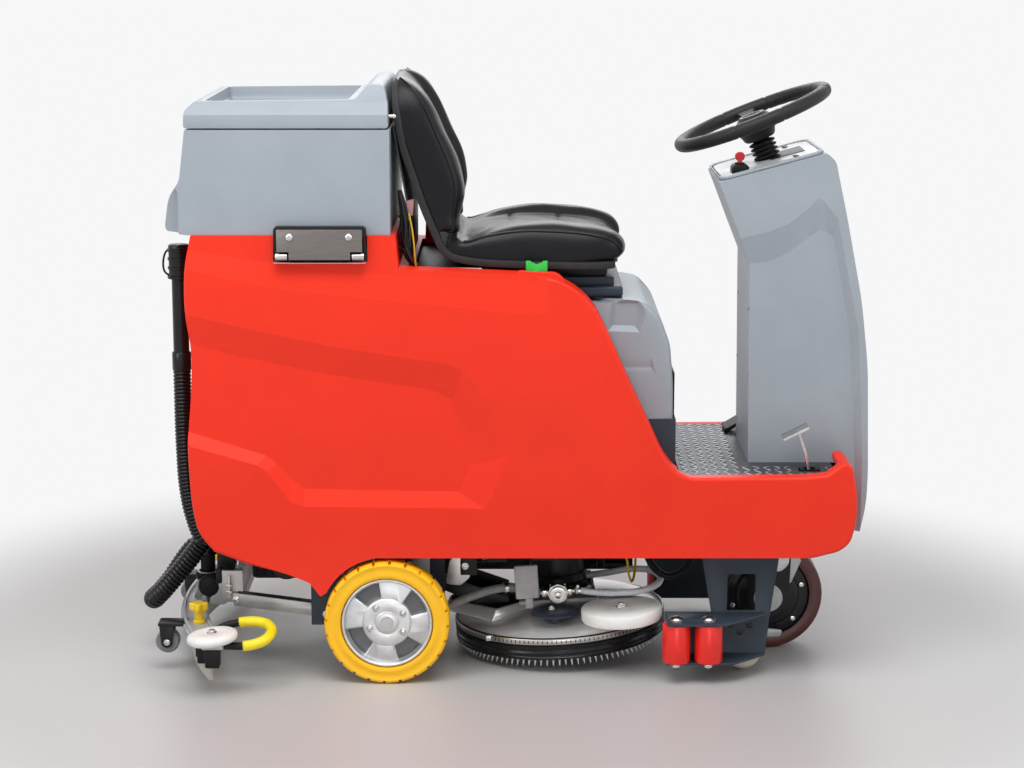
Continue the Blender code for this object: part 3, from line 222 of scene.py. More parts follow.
# ---------------------------------------------------------------- materials
def finish(name, colour, roughness, metallic=0.0, vary=0.06, scale=60.0, bump=0.05, grain=400.0,
           pattern="NOISE", rough_vary=0.08, coat=0.0, specular=0.5, stretch=None):
    """A procedural surface: a colour that varies a little, with a fine relief and uneven gloss."""
    mat = bpy.data.materials.new(name)
    mat.use_nodes = True
    nodes, links = mat.node_tree.nodes, mat.node_tree.links
    shader = nodes["Principled BSDF"]
    shader.inputs["Metallic"].default_value = metallic
    shader.inputs["Specular IOR Level"].default_value = specular
    shader.inputs["Coat Weight"].default_value = coat
    shader.inputs["Coat Roughness"].default_value = 0.15
    place = shader_node(nodes, "TexCoord")
    cloud = shader_node(nodes, "TexNoise", Scale=scale, Detail=4.0)
    source = place.outputs["Object"]
    if stretch:
        turn = shader_node(nodes, "Mapping", Scale=stretch)
        links.new(source, turn.inputs["Vector"])
        source = turn.outputs["Vector"]
    links.new(source, cloud.inputs["Vector"])
    ramp = shader_node(nodes, "ValToRGB")
    ramp.color_ramp.elements[0].position = 0.3
    ramp.color_ramp.elements[1].position = 0.7
    ramp.color_ramp.elements[0].color = (*[c * (1 - vary) for c in colour], 1)
    ramp.color_ramp.elements[1].color = (*[min(1, c * (1 + vary)) for c in colour], 1)
    links.new(cloud.outputs["Fac"], ramp.inputs["Fac"])
    links.new(ramp.outputs["Color"], shader.inputs["Base Color"])
    gloss = shader_node(nodes, "MapRange", To_Min=max(0.02, roughness - rough_vary),
                        To_Max=min(1.0, roughness + rough_vary))
    links.new(cloud.outputs["Fac"], gloss.inputs["Value"])
    links.new(gloss.outputs["Result"], shader.inputs["Roughness"])
    if pattern == "VORONOI":
        relief = shader_node(nodes, "TexVoronoi", Scale=grain)
        height = relief.outputs["Distance"]
    else:
        relief = shader_node(nodes, "TexNoise", Scale=grain, Detail=3.0)
        height = relief.outputs["Fac"]
    links.new(source, relief.inputs["Vector"])
    raised = shader_node(nodes, "Bump", Strength=bump, Distance=0.001)
    links.new(height, raised.inputs["Height"])
    links.new(raised.outputs["Normal"], shader.inputs["Normal"])
    return mat


RED = finish("red_moulding", (0.84, 0.028, 0.007), 0.46, vary=0.03, scale=9, bump=0.035, grain=520,
             specular=0.32)
GREY = finish("grey_moulding", (0.305, 0.341, 0.378), 0.46, vary=0.035, scale=11, bump=0.04,
              grain=650)
CHARCOAL = finish("charcoal_moulding", (0.055, 0.06, 0.068), 0.5, bump=0.06)
SLATE = finish("slate_powder_coat", (0.03, 0.042, 0.06), 0.42, specular=0.3, vary=0.08, bump=0.08,
               grain=900)
BLACK = finish("black_moulding", (0.009, 0.009, 0.01), 0.42, bump=0.08, grain=700, specular=0.22)
BLACK_STEEL = finish("black_paint", (0.01, 0.01, 0.011), 0.36, vary=0.2, bump=0.06, specular=0.28)
GRIP = finish("steering_grip", (0.013, 0.0125, 0.0125), 0.46, vary=0.15, bump=0.2, grain=1300,
              pattern="VORONOI", specular=0.25)
VINYL = finish("seat_vinyl", (0.006, 0.006, 0.0075), 0.3, vary=0.15, scale=25, bump=0.14,
               grain=1400, pattern="VORONOI", specular=0.2)
RUBBER = finish("black_rubber", (0.009, 0.009, 0.009), 0.5, vary=0.25, bump=0.12, grain=500,
                specular=0.22)
HOSE = finish("ribbed_hose", (0.007, 0.007, 0.0075), 0.25, vary=0.2, bump=0.03, specular=0.3)
YELLOW = finish("yellow_tread", (0.98, 0.52, 0.002), 0.4, vary=0.04, scale=20, bump=0.05)
YELLOW_PLASTIC = finish("yellow_plastic", (0.93, 0.62, 0.012), 0.32, vary=0.03, bump=0.03)
SLEEVE = finish("yellow_sleeve", (0.92, 0.74, 0.012), 0.4, vary=0.04, bump=0.04)
GREEN = finish("green_plastic", (0.03, 0.5, 0.06), 0.3, vary=0.05, bump=0.03)
KEY_RED = finish("red_plastic", (0.6, 0.015, 0.015), 0.3, vary=0.05, bump=0.03)
ROLLER_RED = finish("roller_red", (0.8, 0.018, 0.01), 0.33, vary=0.05, bump=0.05, scale=40)
NYLON = finish("white_nylon", (0.82, 0.82, 0.79), 0.42, vary=0.03, bump=0.05)
CREAM = finish("cream_nylon", (0.62, 0.56, 0.44), 0.45, vary=0.06, bump=0.05)
BROWN = finish("drive_tread", (0.085, 0.02, 0.016), 0.42, vary=0.15, bump=0.06)
CAST = finish("cast_aluminium", (0.56, 0.57, 0.58), 0.36, metallic=0.9, vary=0.08, bump=0.16,
              grain=900)
RIM_CAST = finish("rim_casting", (0.6, 0.61, 0.62), 0.33, metallic=0.85, vary=0.06, bump=0.12,
                  grain=1100)
PAINTED_GREY = finish("grey_paint", (0.46, 0.46, 0.46), 0.42, vary=0.07, bump=0.07)
POLISHED = finish("polished_steel", (0.9, 0.89, 0.87), 0.24, metallic=0.5, vary=0.05, scale=12,
                  bump=0.012, grain=120, rough_vary=0.04, stretch=(1, 12, 12))
BRUSHED = finish("brushed_steel", (0.5, 0.49, 0.47), 0.32, metallic=1.0, vary=0.14, scale=30,
                 bump=0.1, grain=260, stretch=(1, 1, 30))
PLATED = finish("plated_steel", (0.6, 0.59, 0.56), 0.24, metallic=1.0, vary=0.12, bump=0.05)
TREAD = finish("tread_plate", (0.075, 0.078, 0.085), 0.4, metallic=0.7, vary=0.2, scale=35,
               bump=0.08)
TREAD_TOP = finish("tread_worn_tops", (0.3, 0.31, 0.33), 0.34, metallic=0.85, vary=0.2, scale=60,
                   bump=0.05)
DASH = finish("dash_film", (0.7, 0.71, 0.72), 0.3, vary=0.02, bump=0.01)
BRISTLE = finish("grey_bristle", (0.78, 0.78, 0.78), 0.6, vary=0.2, bump=0.2, grain=1500)
BRAID = finish("clear_hose", (0.88, 0.91, 0.94), 0.25, vary=0.06, scale=220, bump=0.08, grain=500,
               pattern="VORONOI", coat=0.4)
GREY_HOSE = finish("grey_hose", (0.24, 0.24, 0.24), 0.4, vary=0.15, bump=0.2, grain=500)
BLADE = finish("blade_rubber", (0.5, 0.46, 0.39), 0.4, vary=0.08, bump=0.05)
CASTER_GREY = finish("caster_tread", (0.2, 0.2, 0.21), 0.45, vary=0.08, bump=0.05)
WIRE_YELLOW = finish("yellow_wire", (0.62, 0.4, 0.01), 0.4, bump=0.02)
WIRE_WHITE = finish("white_wire", (0.6, 0.6, 0.58), 0.4, bump=0.02)
HINGE_STEEL = finish("hinge_steel", (0.2, 0.18, 0.17), 0.36, metallic=0.85, vary=0.12, scale=40,
                     bump=0.08, grain=300, stretch=(1, 1, 20))
ARM_STEEL = finish("arm_steel", (0.4, 0.39, 0.38), 0.4, metallic=0.6, vary=0.15, scale=30,
                   bump=0.08)
CAST_GREY = finish("grey_casting", (0.45, 0.46, 0.47), 0.45, metallic=0.35, vary=0.08, bump=0.14,
                   grain=900)
# painted shade: a dark grey for the floor of the rim's deep pockets
POCKET_PAINTED_SHADE = finish("rim_painted_shade_pocket", (0.13, 0.135, 0.14), 0.45, metallic=0.3, vary=0.1, bump=0.1)
SHELL_GRAIN = finish("seat_shell_grain", (0.02, 0.02, 0.021), 0.62, vary=0.2, bump=0.5, grain=420,
                     pattern="VORONOI", specular=0.3)
PINK = finish("pink_plate", (0.55, 0.27, 0.27), 0.5, bump=0.03)
# the body's red at half its brightness: painted shade for the far side's inner ledge
RED_PAINTED_SHADE = finish("red_painted_shade", (0.42, 0.01, 0.012), 0.45, vary=0.05, bump=0.04)


# ---------------------------------------------------------------- modelling helpers
def only(*objs):
    bpy.ops.object.select_all(action="DESELECT")
    for obj in objs:
        obj.select_set(True)
    bpy.context.view_layer.objects.active = objs[0]


def settled(obj):
    """Applies the object's place and its modifiers."""
    only(obj)
    bpy.ops.object.transform_apply(location=True, rotation=True, scale=True)
    for step in list(obj.modifiers):
        bpy.ops.object.modifier_apply(modifier=step.name)
    return obj


def softened(obj, width, segments=2, angle=28):
    """Rounds the sharp edges."""
    step = obj.modifiers.new("edge", "BEVEL")
    step.width = width
    step.segments = segments
    step.limit_method = "ANGLE"
    step.angle_limit = math.radians(angle)
    step.use_clamp_overlap = True
    return settled(obj)


def block(low, high, edge=0.0, segments=2):
    low, high = Vector(low), Vector(high)
    bpy.ops.object.select_all(action="DESELECT")
    bpy.ops.mesh.primitive_cube_add(size=1, location=(low + high) / 2)
    obj = bpy.context.object
    obj.scale = high - low
    settled(obj)
    return softened(obj, edge, segments) if edge else obj


def bar(start, end, radius, sides=20, edge=0.0, end_radius=None):
    start, end = Vector(start), Vector(end)
    along = end - start
    bpy.ops.object.select_all(action="DESELECT")
    bpy.ops.mesh.primitive_cone_add(vertices=sides, radius1=radius,
                                    radius2=radius if end_radius is None else end_radius,
                                    depth=along.length, location=(start + end) / 2,
                                    rotation=along.to_track_quat("Z", "Y").to_euler())
    obj = settled(bpy.context.object)
    return softened(obj, edge, 2) if edge else obj


def outline_mesh(points, low, high, plane="XZ"):
    """A flat outline given thickness, across the machine for XZ and YZ, or upwards for XY."""
    data = bpy.data.curves.new("outline", "CURVE")
    data.dimensions = "2D"
    data.fill_mode = "BOTH"
    data.extrude = (high - low) / 2
    line = data.splines.new("POLY")
    line.points.add(len(points) - 1)
    for spot, (a, b) in zip(line.points, points):
        spot.co = (a, b, 0, 1)
    line.use_cyclic_u = True
    obj = linked("outline", data)
    centre = (low + high) / 2
    if plane == "XZ":
        obj.matrix_world = Matrix.Translation((AXLE_X, centre, 0)) @ Matrix.Rotation(math.pi / 2, 4,
                                                                                     "X")
    elif plane == "YZ":
        turn = Matrix(((0, 0, 1, 0), (1, 0, 0, 0), (0, 1, 0, 0), (0, 0, 0, 1)))
        obj.matrix_world = Matrix.Translation((centre + AXLE_X, 0, 0)) @ turn
    else:
        obj.matrix_world = Matrix.Translation((AXLE_X, 0, centre))
    only(obj)
    bpy.ops.object.convert(target="MESH")
    return cleaned(settled(bpy.context.object))


def cleaned(obj, flat=True):
    """Joins the doubled points, and the triangles of one flat face."""
    only(obj)
    bpy.ops.object.mode_set(mode="EDIT")
    bpy.ops.mesh.select_all(action="SELECT")
    bpy.ops.mesh.remove_doubles(threshold=0.00002)
    if flat:
        bpy.ops.mesh.dissolve_limited(angle_limit=math.radians(0.5))
    bpy.ops.mesh.normals_make_consistent(inside=False)
    bpy.ops.object.mode_set(mode="OBJECT")
    return obj


def boolean(base, others, operation):
    for other in others:
        step = base.modifiers.new(operation.lower(), "BOOLEAN")
        step.operation = operation
        step.solver = "EXACT"
        step.object = other
    settled(base)
    for other in others:
        bpy.data.objects.remove(other, do_unlink=True)
    return base


def carve(base, *others):
    return boolean(base, others, "DIFFERENCE")


def banded(shape, rings):
    """Joins each ring of points to the next with faces."""
    for a, b in zip(rings, rings[1:]):
        for i in range(len(a)):
            j = (i + 1) % len(a)
            shape.faces.new((a[i], a[j], b[j], b[i]))


def made_from(shape, name):
    """A new object from a bmesh, with its faces turned outward."""
    bmesh.ops.recalc_face_normals(shape, faces=shape.faces)
    mesh = bpy.data.meshes.new(name)
    shape.to_mesh(mesh)
    shape.free()
    return linked(name, mesh)


def lofted_cutter(outer, inner, side, face, depth):
    """A cutter with sloped walls: it is as wide as outer on the face and as inner at its floor."""
    shape = bmesh.new()
    rings = [[shape.verts.new(at(x, side * y, z)) for x, z in line]
             for line, y in ((outer, face + FLARE), (outer, face), (inner, face - depth))]
    banded(shape, rings)
    shape.faces.new(rings[0])
    shape.faces.new(rings[-1])
    bmesh.ops.triangulate(shape, faces=[f for f in shape.faces if len(f.verts) > 4])
    return made_from(shape, "cutter")


def turned(profile, centre, axis=UP, steps=64):
    """A round piece from a closed profile of (radius, height)."""
    mesh = bpy.data.meshes.new("profile")
    count = len(profile)
    mesh.from_pydata([(r, 0, h) for r, h in profile], [(i, (i + 1) % count) for i in range(count)],
                     [])
    obj = linked("turned", mesh)
    screw = obj.modifiers.new("turn", "SCREW")
    screw.steps = screw.render_steps = steps
    screw.use_merge_vertices = True
    screw.merge_threshold = 0.00005
    settled(obj)
    turn = Vector(axis).to_track_quat("Z", "Y").to_matrix().to_4x4()
    obj.data.transform(Matrix.Translation(centre) @ turn)
    return cleaned(obj, flat=False)


def smooth_route(points, steps=6):
    """Points on a Catmull-Rom curve through the given ones."""
    route = [Vector(p) for p in points]
    ends = [2 * route[0] - route[1], *route, 2 * route[-1] - route[-2]]
    made = []
    for a, b, c, d in zip(ends, ends[1:], ends[2:], ends[3:]):
        for i in range(steps):
            t = i / steps
            made.append(0.5 * (2 * b + (c - a) * t + (2 * a - 5 * b + 4 * c - d) * t ** 2
                               + (3 * b - a - 3 * c + d) * t ** 3))
    return [*made, route[-1]]


def tube(points, radius, sides=10, steps=6, rings=None):
    """A round tube along a smooth route. rings gives a radius for each share of its length."""
    route = smooth_route(points, steps)
    if rings:
        route, radii = rings(route)
    else:
        radii = [radius] * len(route)
    shape = bmesh.new()
    loops = []
    normal = None
    for i, place in enumerate(route):
        along = (route[min(i + 1, len(route) - 1)] - route[max(i - 1, 0)]).normalized()
        if normal is None:
            normal = along.orthogonal().normalized()
        normal = (normal - along * normal.dot(along)).normalized()
        across = along.cross(normal)
        loops.append([shape.verts.new(place
                                      + (normal * math.cos(a) + across * math.sin(a)) * radii[i])
                      for a in [2 * math.pi * k / sides for k in range(sides)]])
    banded(shape, loops)
    shape.faces.new(list(reversed(loops[0])))
    shape.faces.new(loops[-1])
    return made_from(shape, "tube")


def ribbed(pitch, crest, valley):
    """Rings for tube(): evenly spaced round ribs."""
    def rings(route):
        lengths = [0.0]
        for a, b in zip(route, route[1:]):
            lengths.append(lengths[-1] + (b - a).length)
        count = max(2, round(lengths[-1] / pitch)) * 6
        made, radii = [], []
        k = 0
        for i in range(count + 1):
            want = lengths[-1] * i / count
            while k < len(lengths) - 2 and lengths[k + 1] < want:
                k += 1
            share = (want - lengths[k]) / max(1e-9, lengths[k + 1] - lengths[k])
            made.append(route[k].lerp(route[k + 1], min(1.0, share)))
            wave = abs(math.sin(math.pi * i / 6)) ** 0.7
            radii.append(valley + (crest - valley) * wave)
        return made, radii
    return rings


def joined(*objs):
    only(*objs)
    if len(objs) > 1:
        bpy.ops.object.join()
    return bpy.context.view_layer.objects.active


def flat_faces_kept(obj, low, high, width, where):
    """Rounds the shallow edges between facets; flat_lit() then keeps the light on each facet flat."""
    only(obj)
    bpy.ops.object.mode_set(mode="EDIT")
    bpy.ops.mesh.select_mode(type="EDGE")
    bpy.ops.mesh.select_all(action="DESELECT")
    shape = bmesh.from_edit_mesh(obj.data)
    for edge in shape.edges:
        if len(edge.link_faces) == 2:
            angle = math.degrees(edge.calc_face_angle(0))
            middle = (edge.verts[0].co + edge.verts[1].co) / 2 - Vector((AXLE_X, 0, 0))
            if low < angle < high and where(middle):
                edge.select = True
    bmesh.update_edit_mesh(obj.data)
    bpy.ops.mesh.bevel(offset=width, segments=2, affect="EDGES", clamp_overlap=True)
    bpy.ops.object.mode_set(mode="OBJECT")
    return obj


def flat_lit(obj):
    """The large faces keep their own normals, and the narrow ones between them blend."""
    only(obj)
    step = obj.modifiers.new("flat", "WEIGHTED_NORMAL")
    step.keep_sharp = True
    step.weight = 100
    bpy.ops.object.modifier_apply(modifier=step.name)
    return obj


def done(obj, name, body, look, node=None, angle=35):
    """Names a finished piece, paints it and hangs it on its body, in place of a frame node."""
    obj.name = name
    obj.data.name = name
    obj.data.materials.clear()
    obj.data.materials.append(look)
    only(obj)
    bpy.ops.object.shade_smooth_by_angle(angle=math.radians(angle))
    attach(obj, body)
    if node:
        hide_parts(node)
    return obj


def node_copy(node):
    """A separate copy of a frame node's mesh, with its points joined."""
    source = frame["nodes"][node]
    return cleaned(linked("copy", source.data.copy()))


SLOT_OF = {part["node"]: part["material_slot"] for part in frame["record"]["subparts"]}


def hex_bolt(place, way, radius, head, thread=0.0):
    """A hexagon head with a washer, and the end of its thread."""
    place, way = Vector(place), Vector(way).normalized()
    parts = [bar(place, place + way * head * 0.25, radius * 1.25, 24, head * 0.08),
             bar(place + way * head * 0.2, place + way * head, radius, 6, radius * 0.08)]
    if thread:
        parts.append(bar(place, place + way * (head + thread), radius * 0.5, 12, radius * 0.08))
    return joined(*parts)


def post(x, y, low, high, *form):
    """A bar that stands upright."""
    return bar(at(x, y, low), at(x, y, high), *form)


def bolts_at(places, way, *form):
    return [hex_bolt(at(*place), way, *form) for place in places]


def socket_bolt(place, way, radius, head):
    place, way = Vector(place), Vector(way).normalized()
    cap = bar(place, place + way * head, radius, 24, radius * 0.12)
    return carve(cap, bar(place + way * head * 0.4, place + way * head * 1.2, radius * 0.5, 6))


studio()


def inset(outline, depth):
    """The outline moved inward by depth; it runs clockwise in its plane."""
    made = []
    count = len(outline)
    for i in range(count):
        before = Vector(outline[i]) - Vector(outline[i - 1])
        after = Vector(outline[(i + 1) % count]) - Vector(outline[i])
        side_a = Vector((before.y, -before.x)).normalized()
        side_b = Vector((after.y, -after.x)).normalized()
        half = (side_a + side_b).normalized()
        made.append(tuple(Vector(outline[i]) + half * (depth / max(0.3, half.dot(side_a)))))
    return made


def strip(path, thickness):
    """A closed outline that follows a path with a constant thickness on its left side."""
    made = []
    for i, point in enumerate(path):
        before = Vector(point) - Vector(path[max(i - 1, 0)])
        after = Vector(path[min(i + 1, len(path) - 1)]) - Vector(point)
        along = (before.normalized() + after.normalized()).normalized()
        made.append((point[0] - along.y * thickness, point[1] + along.x * thickness))
    return [*path, *reversed(made)]


def arc(centre, radius, start, end, steps):
    angles = [math.radians(start + (end - start) * i / steps) for i in range(steps + 1)]
    return [(centre[0] + radius * math.cos(a), centre[1] + radius * math.sin(a)) for a in angles]


def rounded_corners(points, radius, steps=3, only_these=None):
    """The outline with its corners turned into small arcs."""
    made = []
    count = len(points)
    for i, point in enumerate(points):
        here = Vector(point)
        before = Vector(points[i - 1]) - here
        after = Vector(points[(i + 1) % count]) - here
        reach = min(radius, before.length * 0.45, after.length * 0.45)
        if only_these is not None and i not in only_these:
            made.append(tuple(point))
            continue
        a, b = here + before.normalized() * reach, here + after.normalized() * reach
        for k in range(steps + 1):
            t = k / steps
            made.append(tuple(a * (1 - t) ** 2 + here * 2 * t * (1 - t) + b * t ** 2))
    return made


def on_flank(half, also):
    """A test for edges that lie on the side faces and pass a second test."""
    return lambda middle, way: abs(abs(middle.y) - half) < ON_FACE and also(middle, way)


def edges_softened(obj, width, segments, test):
    """Rounds the edges that the test picks, given an edge's middle and its direction."""
    only(obj)
    bpy.ops.object.mode_set(mode="EDIT")
    bpy.ops.mesh.select_mode(type="EDGE")
    bpy.ops.mesh.select_all(action="DESELECT")
    bpy.ops.object.mode_set(mode="OBJECT")
    mesh = obj.data
    for edge in mesh.edges:
        a, b = (mesh.vertices[v].co for v in edge.vertices)
        if test((a + b) / 2 - Vector((AXLE_X, 0, 0)), (b - a).normalized()):
            edge.select = True
    bpy.ops.object.mode_set(mode="EDIT")
    bpy.ops.mesh.bevel(offset=width, segments=segments, affect="EDGES", clamp_overlap=True)
    bpy.ops.object.mode_set(mode="OBJECT")
    return obj


# ---------------------------------------------------------------- body shell
SHELL_UPPER = [(-0.355, 0.281), (-0.387, 0.319), (-0.399, 0.38), (-0.405, 0.508), (-0.395, 0.6),
               (-0.391, 0.7), (-0.404, 0.784), (-0.402, 0.868), (-0.388, SHELL_TOP),
               (0.024, SHELL_TOP), (0.03, 0.868), (0.285, 0.856), (0.345, 0.85), (0.379, 0.834),
               (0.404, 0.815), (0.429, 0.787), (0.457, 0.73), (0.489, 0.657), (0.537, 0.555),
               (0.569, 0.484), (0.594, 0.45), (0.62, 0.437), (0.86, 0.439), (0.905, 0.444),
               (0.94, 0.47), (0.957, 0.46), (0.968, 0.4), (0.968, 0.345), (0.957, 0.3),
               (0.935, 0.281)]


def body_shell():
    """The red moulding with the facets of its flanks."""
    arch = arc((0, REAR_R), REAR_R + 0.01, 100, 153, 12)
    lower = [(0.885, 0.268), *arch, (-0.137, 0.186), (-0.159, 0.215), (-0.202, 0.233),
             (-0.284, 0.253)]
    soft = [1, 2, 3, 4, 5, 6, 7, 11, 12, 13, 14, 15, 16, 17, 18, 19, 20, 21, 24, 25, 26, 27, 28, 29]
    outline = rounded_corners(SHELL_UPPER + lower, 0.05, 4, soft)
    shell = outline_mesh(outline, -SHELL_HALF, SHELL_HALF)
    edges_softened(shell, 0.013, 4,
                   on_flank(SHELL_HALF,
                            lambda m, d: abs(d.y) < 0.1 and (m.z > 0.3 or m.x < -0.2 or m.x > 0.9)))
    cutters = []
    for side in (-1, 1):
        recess_out = [(-0.43, 0.783), (-0.386, 0.774), (-0.297, 0.753), (-0.207, 0.733),
                      (-0.117, 0.714), (-0.027, 0.699), (0.064, 0.685), (0.131, 0.675),
                      (0.158, 0.664), (0.19, 0.629), (0.222, 0.56), (0.24, 0.499), (0.249, 0.483),
                      (0.219, 0.401), (0.203, 0.373), (-0.168, 0.377), (-0.195, 0.387),
                      (-0.244, 0.452), (-0.262, 0.464), (-0.43, 0.513)]
        recess_in = [(-0.43, 0.72), (-0.385, 0.712), (-0.299, 0.689), (-0.209, 0.671),
                     (-0.119, 0.652), (-0.028, 0.638), (0.063, 0.625), (0.108, 0.615),
                     (0.14, 0.597), (0.153, 0.557), (0.167, 0.506), (0.17, 0.48), (0.173, 0.462),
                     (0.16, 0.43), (0.148, 0.406), (-0.168, 0.412), (-0.195, 0.436),
                     (-0.222, 0.464), (-0.245, 0.482), (-0.43, 0.541)]
        cutters.append(lofted_cutter(recess_out, recess_in, side, SHELL_HALF + PROUD, 0.0135))
        upper = [(-0.43, 0.912), (-0.382, 0.904), (-0.295, 0.891), (-0.218, 0.879), (-0.115, 0.866),
                 (-0.012, 0.858), (0.12, 0.85), (0.3, 0.843), (0.31, 0.843), (0.31, 0.99),
                 (-0.43, 0.99)]
        low = [(-0.43, 0.875), (-0.379, 0.863), (-0.295, 0.844), (-0.205, 0.827), (-0.102, 0.815),
               (0.042, 0.801), (0.154, 0.79), (0.275, 0.777), (0.33, 0.779), (0.33, 0.99),
               (-0.43, 0.99)]
        cutters.append(lofted_cutter(low, upper, side, SHELL_HALF + PROUD, 0.0105))
    carve(shell, *cutters)
    inner = inset([*SHELL_UPPER, (0.935, 0.05), (-0.355, 0.05)], 0.009)
    port = block(at(-0.43, -0.148, 0.2), at(-0.33, -0.048, 0.4), 0.012, 3)
    carve(shell, outline_mesh(inner, -0.262, 0.262),
          block(at(-0.33, -0.215, 0.9), at(-0.01, 0.215, 1.0)),
          block(at(0.06, -0.215, 0.4), at(0.604, 0.215, 1.0), 0.012),
          block(at(0.6, -0.25, 0.4), at(0.93, 0.25, 0.6), 0.01),
          block(at(0.88, -0.156, 0.425), at(1.0, 0.156, 0.6)), port,
          block(at(-0.2215, -0.3, 0.8826), at(-0.0325, -0.255, 0.96), 0.004, 3))
    flat_faces_kept(shell, 5, 30, 0.004,
                    lambda m: 0.255 < abs(m.y) < 0.2815
                    and (m.x < 0.255 and 0.36 < m.z < 0.79 or m.x < 0.34 and 0.76 < m.z < 0.925))
    softened(shell, 0.002, 2, 42)
    flat_lit(done(shell, "red_body", "chassis", RED, "body_shell", 32))
    # the raised seat of the water tap
    raised = outline_mesh(rounded_corners([(0.262, 0.84), (0.268, 0.862), (0.352, 0.858),
                                           (0.372, 0.836)], 0.012, 3), -0.256, -0.236)
    done(softened(raised, 0.004, 3), "tap_seat_right", "chassis", RED)


# ---------------------------------------------------------------- recovery tank and lid
def tank_and_lid():
    low = SHELL_TOP + 0.0003
    top = 1.146
    outline = [(-0.396, low), (-0.44, 0.941), (-0.443, 0.951), (-0.436, 1.0), (-0.429, 1.018),
               (-0.409, 1.042), (-0.396, top), (0.014, top), (0.014, low)]
    tank = outline_mesh(rounded_corners(outline, 0.012, 3, [1, 2, 3, 4, 5]), -TANK_HALF, TANK_HALF)
    edges_softened(tank, 0.022, 5, on_flank(TANK_HALF, lambda m, d: abs(d.z) > 0.6))
    lobe = [block(at(-0.47, side * 0.236 - 0.03 + side * 0.03, 0.9),
                  at(-0.412, side * 0.236 + 0.03 + side * 0.03, 1.03), 0.01, 3) for side in (-1, 1)]
    well = block(at(-0.376, -TANK_HALF + 0.02, 1.06), at(-0.012, TANK_HALF - 0.02, 1.2), 0.012)
    carve(tank, well, *lobe)
    softened(tank, 0.002, 2, 25)
    flat_lit(done(tank, "tank_moulding", "tank", GREY, "recovery_tank", 32))

    lid_low, rim = 1.149, 1.202
    outline = [(-0.399, lid_low), (-0.3985, 1.168), (-0.397, rim - 0.018), (-0.379, rim - 0.001),
               (-0.067, rim + 0.002), (-0.053, rim + 0.004), (-0.04, rim + 0.023),
               (-0.025, rim + 0.032), (-0.004, rim + 0.032), (0.003, rim + 0.024),
               (0.009, rim - 0.005), (0.011, lid_low)]
    lid = outline_mesh(rounded_corners(outline, 0.006, 3), -LID_HALF, LID_HALF)
    edges_softened(lid, 0.02, 5, on_flank(LID_HALF, lambda m, d: abs(d.z) > 0.6))
    slopes = []
    for side in (-1, 1):
        face = [(LID_HALF + 0.01, 1.176), (LID_HALF, 1.176), (0.226, 1.2), (0.214, 1.2425),
                (LID_HALF + 0.01, 1.2425)]
        slopes.append(outline_mesh([(side * y, z) for y, z in face], -0.42, 0.03, "YZ"))
    tray = block(at(-0.36, -0.211, 1.172), at(-0.07, 0.211, 1.3), 0.014, 3)
    carve(lid, *slopes, tray, block(at(-0.374, -0.232, 1.1), at(-0.014, 0.232, 1.164), 0.01))
    softened(lid, 0.0035, 3, 18)
    lip = block(at(-0.38, -0.238, 1.1463), at(-0.008, 0.238, 1.16), 0.004)
    carve(lip, block(at(-0.372, -0.23, 1.12), at(-0.016, 0.23, 1.18)))
    done(joined(lid, lip), "lid_moulding", "lid", GREY, "tank_lid", 32)

    def lid_mark(low_x, high_x, y, z):
        return block(at(low_x, y - 0.01, z - 0.002), at(high_x, y + 0.01, z + 0.002), 0.0015)

    feet = joined(*[lid_mark(x, x + 0.03, y, 1.1715) for x in (-0.34, -0.12)
                    for y in (-0.17, 0.17)])
    done(feet, "tray_ribs", "lid", GREY)
    gasket = block(at(-0.387, -0.2435, 1.1462), at(-0.002, 0.2435, 1.15), 0.001)
    carve(gasket, block(at(-0.378, -0.236, 1.1), at(-0.01, 0.236, 1.2)))
    done(gasket, "lid_gasket", "lid", RUBBER)


